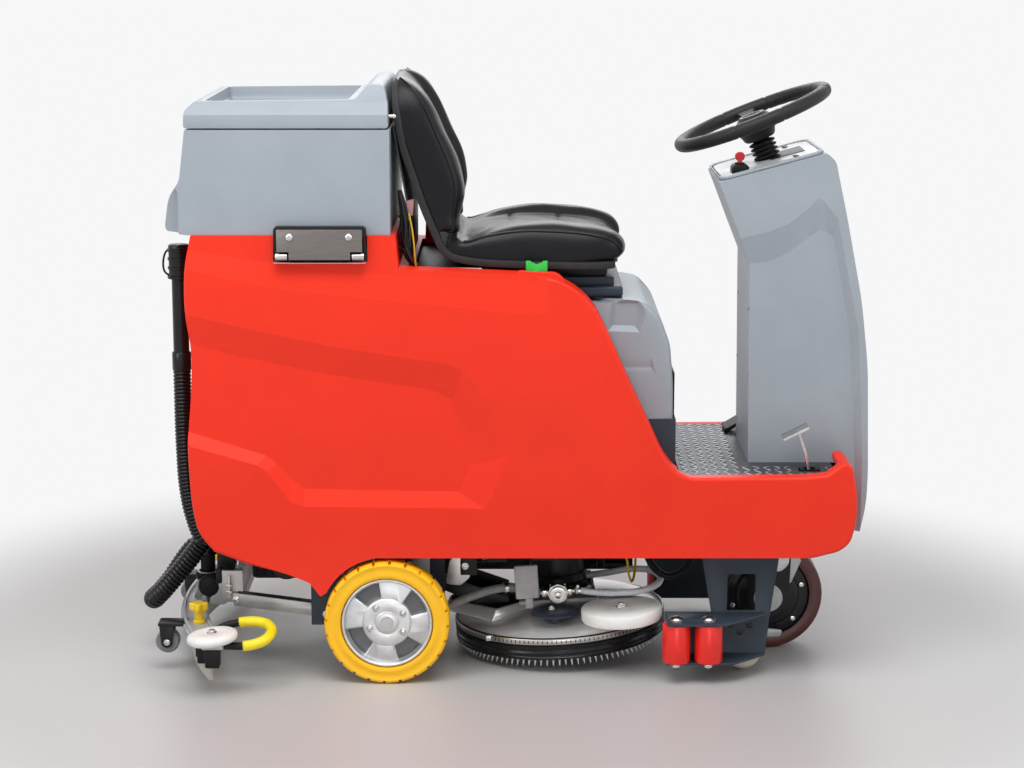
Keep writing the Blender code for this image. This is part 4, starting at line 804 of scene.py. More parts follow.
# ---------------------------------------------------------------- seat box, column and dash
def seat_box():
    outline = [(0.07, 0.3203), (0.07, 0.795), (0.5, 0.795), (0.535, 0.788), (0.565, 0.755),
               (0.585, 0.7), (0.592, 0.62), (0.594, 0.3203)]
    box = outline_mesh(rounded_corners(outline, 0.014, 4, [2, 3, 4, 5, 6]), -BOX_HALF, BOX_HALF)
    edges_softened(box, 0.016, 4,
                   on_flank(BOX_HALF, lambda m, d: abs(d.y) < 0.1 and m.x > 0.3 and m.z > 0.4))
    inner = [(0.07, 0.795), (0.5, 0.795), (0.535, 0.788), (0.565, 0.755), (0.585, 0.7),
             (0.592, 0.62), (0.594, 0.25), (0.07, 0.25)]
    cuts = [outline_mesh(inset(inner, 0.01), -0.18, 0.18)]
    for side in (-1, 1):
        grip = [(0.466, 0.74), (0.472, 0.785), (0.516, 0.785), (0.52, 0.762), (0.512, 0.738)]
        wide = [(0.456, 0.729), (0.464, 0.8), (0.524, 0.8), (0.534, 0.762), (0.522, 0.726)]
        cuts.append(lofted_cutter(wide, grip, side, BOX_HALF + PROUD, 0.012))
        facet = [(0.3, 0.64), (0.3, 0.68), (0.545, 0.676), (0.556, 0.64)]
        deep = [(0.29, 0.65), (0.29, 0.66), (0.552, 0.656), (0.552, 0.65)]
        cuts.append(lofted_cutter(facet, deep, side, BOX_HALF + PROUD, 0.004))
    carve(box, *cuts)
    vent = [(0.528, 0.812), (0.55, 0.806), (0.585, 0.772), (0.59, 0.75), (0.5655, 0.7545),
            (0.5355, 0.7855)]
    carve(box, outline_mesh(vent, -0.15, 0.15))
    softened(box, 0.0025, 2, 25)
    flat_lit(done(box, "seat_box_moulding", "chassis", GREY, "seat_box", 32))
    core = outline_mesh([(0.5, 0.77), (0.527, 0.7755), (0.5565, 0.7445), (0.556, 0.735),
                         (0.5, 0.735)], -0.149, 0.149)
    slats = [outline_mesh([(0.52, 0.776), (0.533, 0.7825), (0.5625, 0.7515), (0.562, 0.74)],
                          y - 0.002, y + 0.002) for y in [(-0.14 + 0.02 * i) for i in range(15)]]
    done(joined(core, *slats), "battery_vent", "chassis", BLACK)
    # a thin black strip on the box's front above the kick plate: painted shade
    shade = block(at(0.5925, -0.188, 0.545), at(0.5955, 0.188, 0.64), 0.001)
    done(shade, "box_front_painted_shade", "chassis", BLACK)
    panel = [(0.5943, 0.378), (0.5943, 0.545), (0.5983, 0.545), (0.5983, 0.378)]
    kick = softened(outline_mesh(panel, -0.19, 0.19), 0.001)
    side = [outline_mesh([(0.52, 0.378), (0.52, 0.545), (0.598, 0.545), (0.598, 0.378)],
                         *span(s, 0.2015, 0.2045)) for s in (-1, 1)]
    done(joined(kick, *side), "kick_plate", "chassis", SLATE, "kick_panel")


COLUMN_OUTLINE = [(0.684, 1.03), (0.905, 1.09), (0.924, 1.072), (0.951, 0.952), (0.985, 0.781),
                  (1.001, 0.644), (1.008, 0.42), (1.006, 0.349), (0.994, 0.29), (0.9705, 0.29),
                  (0.9705, 0.4373), (0.756, 0.4373), (0.752, 0.858), (0.695, 1.005)]


def dash_height(x):
    return 1.03 + (x - 0.684) * 0.06 / 0.221


def on_dash(start, end, rise, thickness, half):
    """A sheet that lies along the slope of the dash."""
    line = [(x, dash_height(x) + rise) for x in (start, end)]
    return outline_mesh(strip(line, thickness), -half, half)


def dash_corner(half):
    return on_flank(half, lambda m, d: abs(d.y) < 0.1 and abs(d.z) > 0.8)


def column():
    outline = rounded_corners(COLUMN_OUTLINE, 0.035, 4, [3, 4, 5, 6, 7])
    outline = rounded_corners(outline, 0.008, 3, [0, 1, 2, len(outline) - 1])
    cover = outline_mesh(outline, -COLUMN_HALF, COLUMN_HALF)
    edges_softened(cover, 0.02, 5,
                   on_flank(COLUMN_HALF, lambda m, d: abs(d.y) < 0.1 and m.x > 0.915))
    cuts = []
    for side in (-1, 1):
        outer = [(0.7, 0.912), (0.742, 0.917), (0.785, 0.927), (0.828, 0.944), (0.87, 0.976),
                 (0.888, 0.998), (0.9, 0.993), (0.931, 0.955), (0.95, 0.862), (0.979, 0.72),
                 (0.99, 0.554), (0.995, 0.442), (0.995, 0.2), (0.7, 0.2)]
        inner = [(0.7, 0.857), (0.751, 0.86), (0.788, 0.863), (0.83, 0.882), (0.873, 0.915),
                 (0.895, 0.93), (0.91, 0.925), (0.924, 0.915), (0.936, 0.855), (0.963, 0.72),
                 (0.975, 0.554), (0.98, 0.442), (0.98, 0.2), (0.7, 0.2)]
        cuts.append(lofted_cutter(outer, inner, side, COLUMN_HALF + PROUD, 0.013))
    hollow = [(0.684, 1.03), (0.905, 1.09), *COLUMN_OUTLINE[2:7], (0.99, 0.4), (0.756, 0.4),
              *COLUMN_OUTLINE[12:]]
    foot = at(0.765, 0, 1.152)
    carve(cover, *cuts)
    carve(cover, outline_mesh(inset(hollow, 0.008), -0.125, 0.125),
          bar(foot, foot - LEAN * 0.14, 0.0298, 32),
          *[block(at(0.7, y - 0.012, z - 0.004), at(0.7625, y + 0.012, z + 0.004), 0.002)
            for y in (-0.115, 0.115) for z in (0.48, 0.62, 0.76)])
    flat_faces_kept(cover, 6, 40, 0.004, lambda m: 0.125 < abs(m.y) < 0.149 and m.z < 1.01)
    softened(cover, 0.003, 3, 42)
    flat_lit(done(cover, "column_moulding", "chassis", GREY, "column_cover", 32))

    half = COLUMN_HALF - 0.017
    panel = on_dash(0.694, 0.895, 0.0003, 0.004, half)
    edges_softened(panel, 0.03, 6, dash_corner(half))
    carve(panel, bar(foot, foot - LEAN * 0.14, 0.0298, 32))
    softened(panel, 0.001, 2)
    done(panel, "dash_film_panel", "chassis", DASH, "dash_panel")
    surround = on_dash(0.688, 0.901, 0.0006, 0.0062, half + 0.013)
    hollow = on_dash(0.6925, 0.8965, -0.006, 0.03, half + 0.0015)
    edges_softened(surround, 0.024, 6, dash_corner(half + 0.013))
    edges_softened(hollow, 0.03, 6, dash_corner(half + 0.0015))
    carve(surround, hollow)
    softened(surround, 0.0026, 3, 40)
    done(surround, "dash_frame", "chassis", GREY)
    line = on_dash(0.6928, 0.8962, -0.0006, 0.0014, half + 0.0013)
    done(line, "dash_edge_line", "chassis", BLACK)
    key_x, key_y = KEY
    low = dash_height(key_x)
    body = [(0.714, low - 0.001), (0.714, low + 0.012), (0.719, low + 0.018), (0.745, low + 0.018),
            (0.75, low + 0.014), (0.75, low + 0.006)]
    block_piece = softened(outline_mesh(body, -0.105, -0.065), 0.002, 2)
    collar = post(key_x, key_y, low + 0.017, low + 0.0215, 0.0105, 24, 0.001)
    carve(collar, post(key_x, key_y, low, low + 0.05, 0.0056, 20))
    carve(block_piece, post(key_x, key_y, low + 0.008, low + 0.05, 0.0056, 20))
    done(joined(block_piece, collar), "switch_block", "chassis", BLACK)
    top = low + 0.018
    stem = post(key_x, key_y, top - 0.0095, top + 0.012, 0.005, 20, 0.0006)
    wing = softened(outline_mesh(rounded_corners([(0.724, top + 0.008), (0.721, top + 0.018),
                                                  (0.726, top + 0.025), (0.738, top + 0.025),
                                                  (0.743, top + 0.018), (0.74, top + 0.008)], 0.003,
                                                 2), -0.0885, -0.0815), 0.0012, 2)
    done(joined(stem, wing), "switch_key", "switch", KEY_RED, "direction_switch")
    screen = on_dash(0.8, 0.872, 0.0042, 0.0014, 0.052)
    done(softened(screen, 0.0006), "dash_window", "chassis", BLACK)
    lamps = [bar(at(0.848, y, dash_height(0.848) + 0.0035),
                 at(0.848, y, dash_height(0.848) + 0.0062), 0.0075, 20, 0.001)
             for y in (-0.118, -0.094, 0.094, 0.118)]
    done(joined(*lamps), "dash_buttons", "chassis", CHARCOAL)


body_shell()
tank_and_lid()
seat_box()
column()


# ---------------------------------------------------------------- seat
def share_of(points, share):
    """The point at a share of a line's length."""
    lengths = [0.0]
    for a, b in zip(points, points[1:]):
        lengths.append(lengths[-1] + (Vector(b) - Vector(a)).length)
    want = share * lengths[-1]
    for i in range(len(points) - 1):
        if want <= lengths[i + 1] or i == len(points) - 2:
            t = (want - lengths[i]) / max(1e-9, lengths[i + 1] - lengths[i])
            return Vector(points[i]).lerp(Vector(points[i + 1]), min(1.0, max(0.0, t)))


def curved(points, steps=6):
    return [(p.x, p.z) for p in smooth_route([(x, 0, z) for x, z in points], steps)]


def seat_width(share, wide, narrow, start):
    """Half the width: it narrows, and rounds off at the end."""
    if share < start:
        return wide
    t = (share - start) / (1 - start)
    return narrow + (wide - narrow) * math.sqrt(max(0.0, 1 - t ** 2.6))


def cushion_form(under, over, half_at, centre, panel, channels, name):
    """A stuffed closed form: two side bolsters, a lower middle panel and sewn channels."""
    rows, columns = 72, 72
    shape = bmesh.new()
    tops, bottoms = [], []
    for i in range(rows + 1):
        share = i / rows
        low, high = share_of(under, share), share_of(over, share)
        lift = high - low
        way = lift.normalized() if lift.length > 1e-6 else Vector((0, 1))
        top_row, low_row = [], []
        for j in range(columns + 1):
            u = math.sin(math.pi / 2 * (2 * j / columns - 1))
            far = abs(u)
            edge = max(0.0, 1 - far ** 14) ** 0.5
            ramp = min(1.0, max(0.0, (far - panel + 0.05) / 0.17))
            ramp = ramp * ramp * (3 - 2 * ramp)
            level = centre + (1 - centre) * ramp + 0.035 * math.exp(-((far / 0.45) ** 2))
            if far > panel:
                level += 0.02 * math.sin(math.pi * (far - panel) / (1 - panel))
            groove = 0.0045 * math.exp(-(((far - panel) / 0.014) ** 2))
            if far < panel:
                for spot in channels:
                    groove += 0.0045 * math.exp(-(((share - spot) / 0.012) ** 2))
            puff = 0.0012 * math.sin(share * 23 + 5 * u) * math.sin(u * 9 + share * 4)
            fill = min(1.0, level) * edge
            place = low + lift * fill - way * (groove * edge) + way * puff * edge
            y = u * half_at(share)
            top_row.append(shape.verts.new(at(place.x, y, place.y)))
            low_row.append(shape.verts.new(at(low.x, y, low.y)))
        tops.append(top_row)
        bottoms.append(low_row)
    for i in range(rows):
        for j in range(columns):
            shape.faces.new((tops[i][j], tops[i][j + 1], tops[i + 1][j + 1], tops[i + 1][j]))
            shape.faces.new((bottoms[i][j], bottoms[i + 1][j], bottoms[i + 1][j + 1],
                             bottoms[i][j + 1]))
    for row in (0, rows):
        for j in range(columns):
            shape.faces.new((tops[row][j], bottoms[row][j], bottoms[row][j + 1], tops[row][j + 1]))
    bmesh.ops.remove_doubles(shape, verts=shape.verts, dist=0.00005)
    bmesh.ops.dissolve_degenerate(shape, edges=shape.edges, dist=0.00001)
    return made_from(shape, name)


def piping(under, over, half_at, spot, name, first, last):
    """The corded seam along a bolster, on both sides."""
    made = []
    for side in (-1, 1):
        points = []
        for i in range(25):
            share = first + (last - first) * i / 24
            low, high = share_of(under, share), share_of(over, share)
            edge = max(0.0, 1 - spot ** 14) ** 0.5
            place = low + (high - low) * edge
            points.append(at(place.x, side * spot * half_at(share), place.y))
        made.append(tube(points, 0.0026, 8, 3))
    return done(joined(*made), name, "seat", VINYL, angle=60)


def pan_half(share):
    """Half the width of the moulded shell, which rounds off at both ends."""
    return min(seat_width(1 - share, PAN_HALF, 0.14, 0.82),
               seat_width(share, PAN_HALF, 0.155, 0.86))


def seat():
    pan_line = [(0.016, 1.243), (0.024, 1.163), (0.052, 1.077), (0.08, 0.994), (0.106, 0.931),
                (0.122, 0.9), (0.152, 0.883), (0.239, 0.873), (0.477, 0.867)]
    upper = list(reversed(strip(pan_line, 0.0066)[len(pan_line):]))
    back_under = list(reversed(curved(upper[:5])))
    back_over = curved([upper[4], (0.15, 0.93), (0.151, 0.958), (0.157, 0.985), (0.163, 1.018),
                        (0.153, 1.065), (0.127, 1.126), (0.097, 1.19), (0.068, 1.228),
                        (0.036, 1.2455), upper[0]], 8)
    width = lambda share: seat_width(share, SEAT_HALF, 0.135, 0.62)
    back = cushion_form(back_under, back_over, width, 0.7, 0.56, (0.36, 0.6, 0.8), "back")
    done(back, "backrest_cushion", "seat", VINYL, "seat_back", 60)
    piping(back_under, back_over, width, 0.935, "backrest_piping", 0.05, 0.97)

    base_under = curved([(0.1465, 0.925), *upper[5:]])
    base_over = curved([(0.1465, 0.925), (0.172, 0.916), (0.225, 0.938), (0.3, 0.951), (0.4, 0.947),
                        (0.46, 0.934), (0.487, 0.914), (0.4925, 0.89), upper[8]], 8)
    width = lambda share: seat_width(share, SEAT_HALF, 0.15, 0.66)
    base = cushion_form(base_under, base_over, width, 0.74, 0.56, (0.32, 0.58), "base")
    done(base, "base_cushion", "seat", VINYL, "seat_cushion", 60)
    piping(base_under, base_over, width, 0.935, "base_piping", 0.06, 0.93)

    # the moulded shell behind and under them
    rows, columns = 60, 40
    line = curved(pan_line, 8)
    shape = bmesh.new()
    grid = []
    for i in range(rows + 1):
        share = i / rows
        here = share_of(line, share)
        half = pan_half(share)
        grid.append([shape.verts.new(at(here.x, half * (2 * j / columns - 1), here.y))
                     for j in range(columns + 1)])
    for i in range(rows):
        for j in range(columns):
            shape.faces.new((grid[i][j], grid[i][j + 1], grid[i + 1][j + 1], grid[i + 1][j]))
    pan = made_from(shape, "pan")
    wall = pan.modifiers.new("wall", "SOLIDIFY")
    wall.thickness = 0.0058
    wall.offset = 1.0 if pan.data.polygons[0].normal.x > 0 else -1.0
    settled(pan)
    softened(pan, 0.0012, 2, 50)
    lips = []
    for side in (-1, 1):
        shape = bmesh.new()
        sections = []
        for i in range(1, 120):
            share = i / 120
            here = share_of(line, share)
            ahead = share_of(line, min(1.0, share + 0.01)) - share_of(line, max(0.0, share - 0.01))
            way = Vector((-ahead.y, ahead.x)).normalized()
            behind = -0.003 - 0.0075 * min(1.0, max(0.0, (1.16 - here.y) / 0.06))
            half = pan_half(share)
            sections.append([shape.verts.new(at(here.x + way.x * off, side * (half - deep),
                                                here.y + way.y * off))
                             for off, deep in ((behind, -0.0005), (behind + 0.0145, -0.0005),
                                               (behind + 0.0145, 0.009), (behind, 0.009))])
        banded(shape, sections)
        shape.faces.new(sections[0])
        shape.faces.new(sections[-1])
        lips.append(softened(made_from(shape, "lip"), 0.0016, 2, 50))
    done(joined(*lips), "seat_shell_lip", "seat", SHELL_GRAIN, angle=50)
    slider = block(at(0.2, -0.16, 0.8355), at(0.456, 0.16, 0.868), 0.008, 3)
    done(joined(pan, slider), "seat_shell_moulding", "seat", BLACK, "seat_shell",
         40)
    top = 0.7953
    rail = block(at(0.17, -0.17, top), at(0.488, 0.17, top + 0.022), 0.006, 3)
    runners = [block(at(0.18, y0, top + 0.02), at(0.47, y1, 0.8352), 0.002)
               for y0, y1 in (span(-1, 0.12, 0.155), span(1, 0.12, 0.155))]
    done(joined(rail, *runners), "seat_slide_plate", "chassis", SLATE, "seat_rail")


# ---------------------------------------------------------------- steering wheel
def placed(obj, origin, out, up):
    """Turns a piece made round the origin so that its Z follows out and its X follows up."""
    out, up = Vector(out).normalized(), Vector(up).normalized()
    side = out.cross(up)
    turn = Matrix((up, side, out)).transposed().to_4x4()
    obj.matrix_world = Matrix.Translation(origin) @ turn
    only(obj)
    bpy.ops.object.transform_apply(location=True, rotation=True, scale=True)
    return obj


def flat_outline(points, low, high):
    """An outline standing on the origin's own plane, for placed()."""
    obj = outline_mesh([(x, y) for x, y in points], low, high, "XY")
    obj.data.transform(Matrix.Translation((-AXLE_X, 0, 0)))
    return obj


def steering_wheel():
    fore = Vector((math.cos(WHEEL_TILT), 0, math.sin(WHEEL_TILT)))
    bpy.ops.object.select_all(action="DESELECT")
    bpy.ops.mesh.primitive_torus_add(major_segments=240, minor_segments=20, major_radius=GRIP_R,
                                     minor_radius=0.0143)
    rim = bpy.context.object
    spokes = (90, 270, 0)
    for vertex in rim.data.vertices:
        angle = math.degrees(math.atan2(vertex.co.y, vertex.co.x)) % 360
        near = min(min(abs(angle - s), 360 - abs(angle - s)) for s in spokes)
        flat = Vector((vertex.co.x, vertex.co.y, 0)).normalized() * GRIP_R
        size = 1.0
        if near < 17:
            size = 1.015
        elif near < 18.6:
            size = 0.9
        elif near > 20 and near < 80:
            ripple = (near % 9.0) / 9.0
            if vertex.co.z < -0.004 and Vector((vertex.co.x, vertex.co.y)).length < GRIP_R:
                size = 0.965 + 0.03 * abs(math.sin(math.pi * ripple))
        vertex.co = flat + (vertex.co - flat) * size
    rim.name = "rim"
    arms = []
    for angle in spokes:
        line = [(0.024, -0.026), (0.06, -0.016), (0.095, -0.0125), (0.13, -0.017), (0.153, -0.026),
                (0.153, 0.026), (0.13, 0.017), (0.095, 0.0125), (0.06, 0.016), (0.024, 0.026)]
        arm = flat_outline(rounded_corners(line, 0.01, 3), -0.0055, 0.0055)
        only(arm)
        bpy.ops.object.mode_set(mode="EDIT")
        bpy.ops.mesh.select_all(action="SELECT")
        bpy.ops.mesh.bevel(offset=0.0035, segments=3, affect="EDGES")
        bpy.ops.object.mode_set(mode="OBJECT")
        for vertex in arm.data.vertices:
            reach = vertex.co.length
            vertex.co.z += -0.024 + 0.021 * min(1.0, max(0.0, (reach - 0.03) / 0.11)) ** 1.3
        arm.data.transform(Matrix.Rotation(math.radians(angle), 4, "Z"))
        arms.append(arm)
    hub = turned([(0.0, 0.0035), (0.02, 0.0035), (0.0225, 0.0055), (0.0275, 0.0055), (0.031, 0.002),
                  (0.04, -0.006), (0.062, -0.0125), (0.066, -0.0155), (0.06, -0.0185),
                  (0.044, -0.026), (0.037, -0.036), (0.034, -0.045), (0.03, -0.049),
                  (0.0235, -0.0495), (0.0133, -0.048), (0.0133, -0.02), (0.0, -0.02)], (0, 0, 0),
                 UP, 64)
    wheel = placed(joined(rim, hub, *arms), WHEEL_AT, LEAN, fore)
    done(wheel, "steering_wheel_rim", "steering", GRIP, "steering_wheel", 45)
    ring = turned([(0.0232, 0.0057), (0.025, 0.0057), (0.025, 0.0049), (0.0232, 0.0049)], (0, 0, 0),
                  UP, 48)
    done(placed(ring, WHEEL_AT, LEAN, fore), "hub_cap_ring", "steering", PLATED)
    folds = [(0.0132, -0.0512), (0.0168, -0.0514), (0.018, -0.053)]
    for i in range(4):
        height = -0.0555 - i * 0.0095
        folds += [(0.0262, height), (0.0285, height - 0.0018), (0.0285, height - 0.0034),
                  (0.0262, height - 0.0052), (0.0205, height - 0.0068), (0.0205, height - 0.0082)]
    folds += [(0.0282, -0.0935), (0.0293, -0.0955), (0.0293, -0.112), (0.0132, -0.112)]
    boot = turned(folds, WHEEL_AT, LEAN, 64)
    done(boot, "steering_bellows", "chassis", RUBBER, "steering_boot", 60)
    base = turned([(0.0299, -0.104), (0.04, -0.1035), (0.0425, -0.1055), (0.0425, -0.116),
                   (0.0299, -0.116)], WHEEL_AT, LEAN, 64)
    done(base, "bellows_collar", "chassis", GREY)


# ---------------------------------------------------------------- wheels
def copies_round(obj, count, centre, start=0.0):
    """The piece repeated round the Y axis through centre."""
    made = [obj]
    for _ in range(1, count):
        made.append(linked("copy", obj.data.copy()))
    for i, piece in enumerate(made):
        turn = Matrix.Rotation(2 * math.pi * i / count + start, 4, "Y")
        piece.data.transform(Matrix.Translation(centre) @ turn
                             @ Matrix.Translation(-Vector(centre)))
    return joined(*made)


def rear_wheels():
    centre = at(0, 0, REAR_R)
    for side, word in SIDES:
        out, into = 0.289, 0.236
        way = (0, side, 0)
        tread = turned([(REAR_R - 0.007, out), (REAR_R - 0.002, out - 0.0025),
                        (REAR_R, out - 0.008), (REAR_R, into + 0.008),
                        (REAR_R - 0.002, into + 0.0025), (REAR_R - 0.007, into), (0.1045, into),
                        (0.0962, into + 0.002), (0.0962, out - 0.002), (0.1045, out),
                        (0.108, out - 0.0016), (0.119, out - 0.0016)], centre, way, 144)
        notches = []
        for face in (out, into):
            depth = 0.0125 if face == out else -0.0125
            low = side * (face - depth * 2.1)
            high = side * (face + (0.004 if face == out else -0.004))
            notch = block((centre.x - 0.003, min(low, high), 2 * REAR_R - 0.0062),
                          (centre.x + 0.003, max(low, high), 2 * REAR_R + 0.006))
            notches.append(copies_round(notch, 24, centre, 0.05))
        carve(tread, *notches)
        softened(tread, 0.0009, 2, 40)
        done(tread, "rear_tread_" + word, "rear_wheel_" + word, YELLOW,
             "rear_tyre_" + word, 40)
        face = 0.2835
        rim = turned([(0.0131, face - 0.002), (0.048, face - 0.002), (0.0515, face - 0.005),
                      (0.056, face - 0.0185), (0.08, face - 0.0185), (0.0865, face - 0.006),
                      (0.0885, face + 0.0012), (0.0925, face + 0.0015), (0.095, face - 0.001),
                      (0.095, into + 0.004), (0.0131, into + 0.004)], centre, way, 96)
        spokes = []
        for angle in (77, 166, 261, 350):
            sector = [*arc((0, 0), 0.0895, -24, 24, 10), *arc((0, 0), 0.0475, 25, -25, 6)]
            spoke = flat_outline(rounded_corners(sector, 0.003, 2), -0.02, -0.004)
            for vertex in spoke.data.vertices:
                if vertex.co.z < -0.01:
                    turn = 1.14 * math.atan2(vertex.co.y, vertex.co.x)
                    reach = Vector((vertex.co.x, vertex.co.y)).length
                    vertex.co.x, vertex.co.y = reach * math.cos(turn), reach * math.sin(turn)
                elif vertex.co.length > 0.07:
                    vertex.co.z -= 0.0035
            softened(spoke, 0.003, 3, 40)
            spokes.append(placed(spoke, centre + Vector((0, side * face, 0)), way,
                                 round_axis(math.radians(angle), 1)))
        softened(rim, 0.0012, 2, 35)
        hub = turned([(0.0131, face + 0.001), (0.0215, face + 0.001), (0.0245, face - 0.0008),
                      (0.0255, face - 0.004), (0.0131, face - 0.004)], centre, way, 48)
        cap = turned([(0.0, face - 0.0005), (0.012, face - 0.0005), (0.0131, face - 0.0015),
                      (0.0131, face - 0.006), (0.0, face - 0.006)], centre, way, 32)
        bowls, nuts = [], []
        for angle in (30, 126, 200, 328):
            spot = centre + round_axis(math.radians(angle), 0.0385, side * (face - 0.002))
            bowls.append(bar(spot - Vector(way) * 0.006, spot + Vector(way) * 0.004, 0.0078, 20))
            nuts.append(hex_bolt(spot - Vector(way) * 0.006, way, 0.0052, 0.0045, 0.002))
        carve(rim, *bowls)
        wheel = joined(rim, hub, *spokes)
        done(wheel, "rear_rim_casting_" + word, "rear_wheel_" + word, RIM_CAST,
             "rear_rim_" + word)
        # a dark ring on the pockets' floor between the spokes: painted shade of the deep pockets
        pocket = turned([(0.056, face - 0.019), (0.081, face - 0.019), (0.0835, face - 0.012),
                         (0.0825, face - 0.012), (0.08, face - 0.0177), (0.056, face - 0.0177)],
                        centre, way, 96)
        done(pocket, "rear_rim_painted_shade_pockets_" + word, "rear_wheel_" + word, POCKET_PAINTED_SHADE)
        done(joined(cap, *nuts), "rear_wheel_nuts_" + word, "rear_wheel_" + word, PLATED,
             angle=30)


def drive_wheel():
    centre = at(0.813, 0, DRIVE_R)
    half = 0.04
    tread = turned([(0.114, half), (0.1185, half - 0.002), (0.12, half - 0.006),
                    (0.12, -half + 0.006), (0.1185, -half + 0.002), (0.114, -half), (0.1, -half),
                    (0.0926, -half + 0.002), (0.0926, half - 0.002), (0.1, half)], centre, ACROSS,
                   128)
    grooves = [turned([(0.1165, y + 0.0012), (0.1215, y + 0.002), (0.1215, y - 0.002),
                       (0.1165, y - 0.0012)], centre, ACROSS, 96)
               for y in (-0.024, -0.008, 0.008, 0.024)]
    carve(tread, *grooves)
    done(tread, "drive_tread_moulding", "drive_wheel", BROWN, "drive_tyre")
    motor = turned([(0.0, -0.048), (0.03, -0.048), (0.034, -0.046), (0.06, -0.046), (0.066, -0.043),
                    (0.07, -0.036), (0.086, -0.036), (0.092, -0.032), (0.092, 0.032),
                    (0.086, 0.036), (0.07, 0.036), (0.066, 0.043), (0.06, 0.046), (0.034, 0.046),
                    (0.03, 0.048), (0.0, 0.048)], centre, ACROSS, 96)
    ends = bar(at(0.813, -0.066, DRIVE_R), at(0.813, 0.066, DRIVE_R), 0.0125, 32, 0.001)
    bolts = []
    for side in (-1, 1):
        for i in range(6):
            spot = centre + round_axis(2 * math.pi * i / 6 + 0.3, 0.078, side * 0.036)
            bolts.append(socket_bolt(spot - Vector((0, side * 0.001, 0)), (0, side, 0), 0.0052,
                                     0.006))
    done(joined(motor, ends), "drive_motor_hub", "drive_wheel", BLACK_STEEL,
         "drive_motor")
    done(joined(*bolts), "drive_hub_bolts", "drive_wheel", PLATED, angle=30)
    plates = [turned([(0.0126, side * 0.0478), (0.03, side * 0.0478), (0.031, side * 0.0495),
                      (0.029, side * 0.0505), (0.0126, side * 0.0505)], centre, ACROSS, 48)
              for side in (-1, 1)]
    done(joined(*plates), "drive_hub_plates", "drive_wheel", CAST)
    fork = softened(node_copy("drive_fork"), 0.003, 3, 30)
    done(fork, "drive_fork_casting", "fork", BLACK_STEEL, "drive_fork")
    caps = [turned([(0.0, side * 0.0622), (0.031, side * 0.0622), (0.031, side * 0.064),
                    (0.029, side * 0.0655), (0.0, side * 0.0665)], centre, ACROSS, 48)
            for side in (-1, 1)]
    done(joined(*caps), "drive_axle_caps", "fork", PAINTED_GREY)
    tabs = []
    for line in ([(0.824, 0.172), (0.848, 0.224), (0.884, 0.204), (0.862, 0.152), (0.846, 0.15)],
                 [(0.806, 0.03), (0.812, 0.05), (0.846, 0.046), (0.842, 0.032)]):
        for low, high in ((-0.06, -0.053), (0.053, 0.06)):
            tabs.append(softened(outline_mesh(rounded_corners(line, 0.004, 2), low, high), 0.0012,
                                 2))
    done(joined(*tabs), "fork_side_tabs", "fork", CAST_GREY)
    brackets = []
    for side in (-1, 1):
        plate = [(0.77, 0.196), (0.77, 0.262), (0.856, 0.262), (0.856, 0.196), (0.84, 0.18),
                 (0.786, 0.18)]
        brackets.append(softened(outline_mesh(rounded_corners(plate, 0.008, 3),
                                              *span(side, 0.0625, 0.069)), 0.0015, 2))
        for x in (0.783, 0.843):
            brackets.append(socket_bolt(at(x, side * 0.0685, 0.214), (0, side, 0), 0.006, 0.006))
    done(joined(*brackets), "fork_brackets", "fork", CAST)


seat()
steering_wheel()
rear_wheels()
drive_wheel()


# ---------------------------------------------------------------- platform, pedals and tap
def repeated(obj, places):
    """Copies of a small piece, moved and turned about Z."""
    mesh = obj.data
    shape = bmesh.new()
    for place, angle in places:
        before = len(shape.verts)
        shape.from_mesh(mesh)
        shape.verts.ensure_lookup_table()
        turn = Matrix.Translation(place) @ Matrix.Rotation(angle, 4, "Z")
        bmesh.ops.transform(shape, matrix=turn, verts=shape.verts[before:])
    shape.to_mesh(mesh)
    shape.free()
    return obj


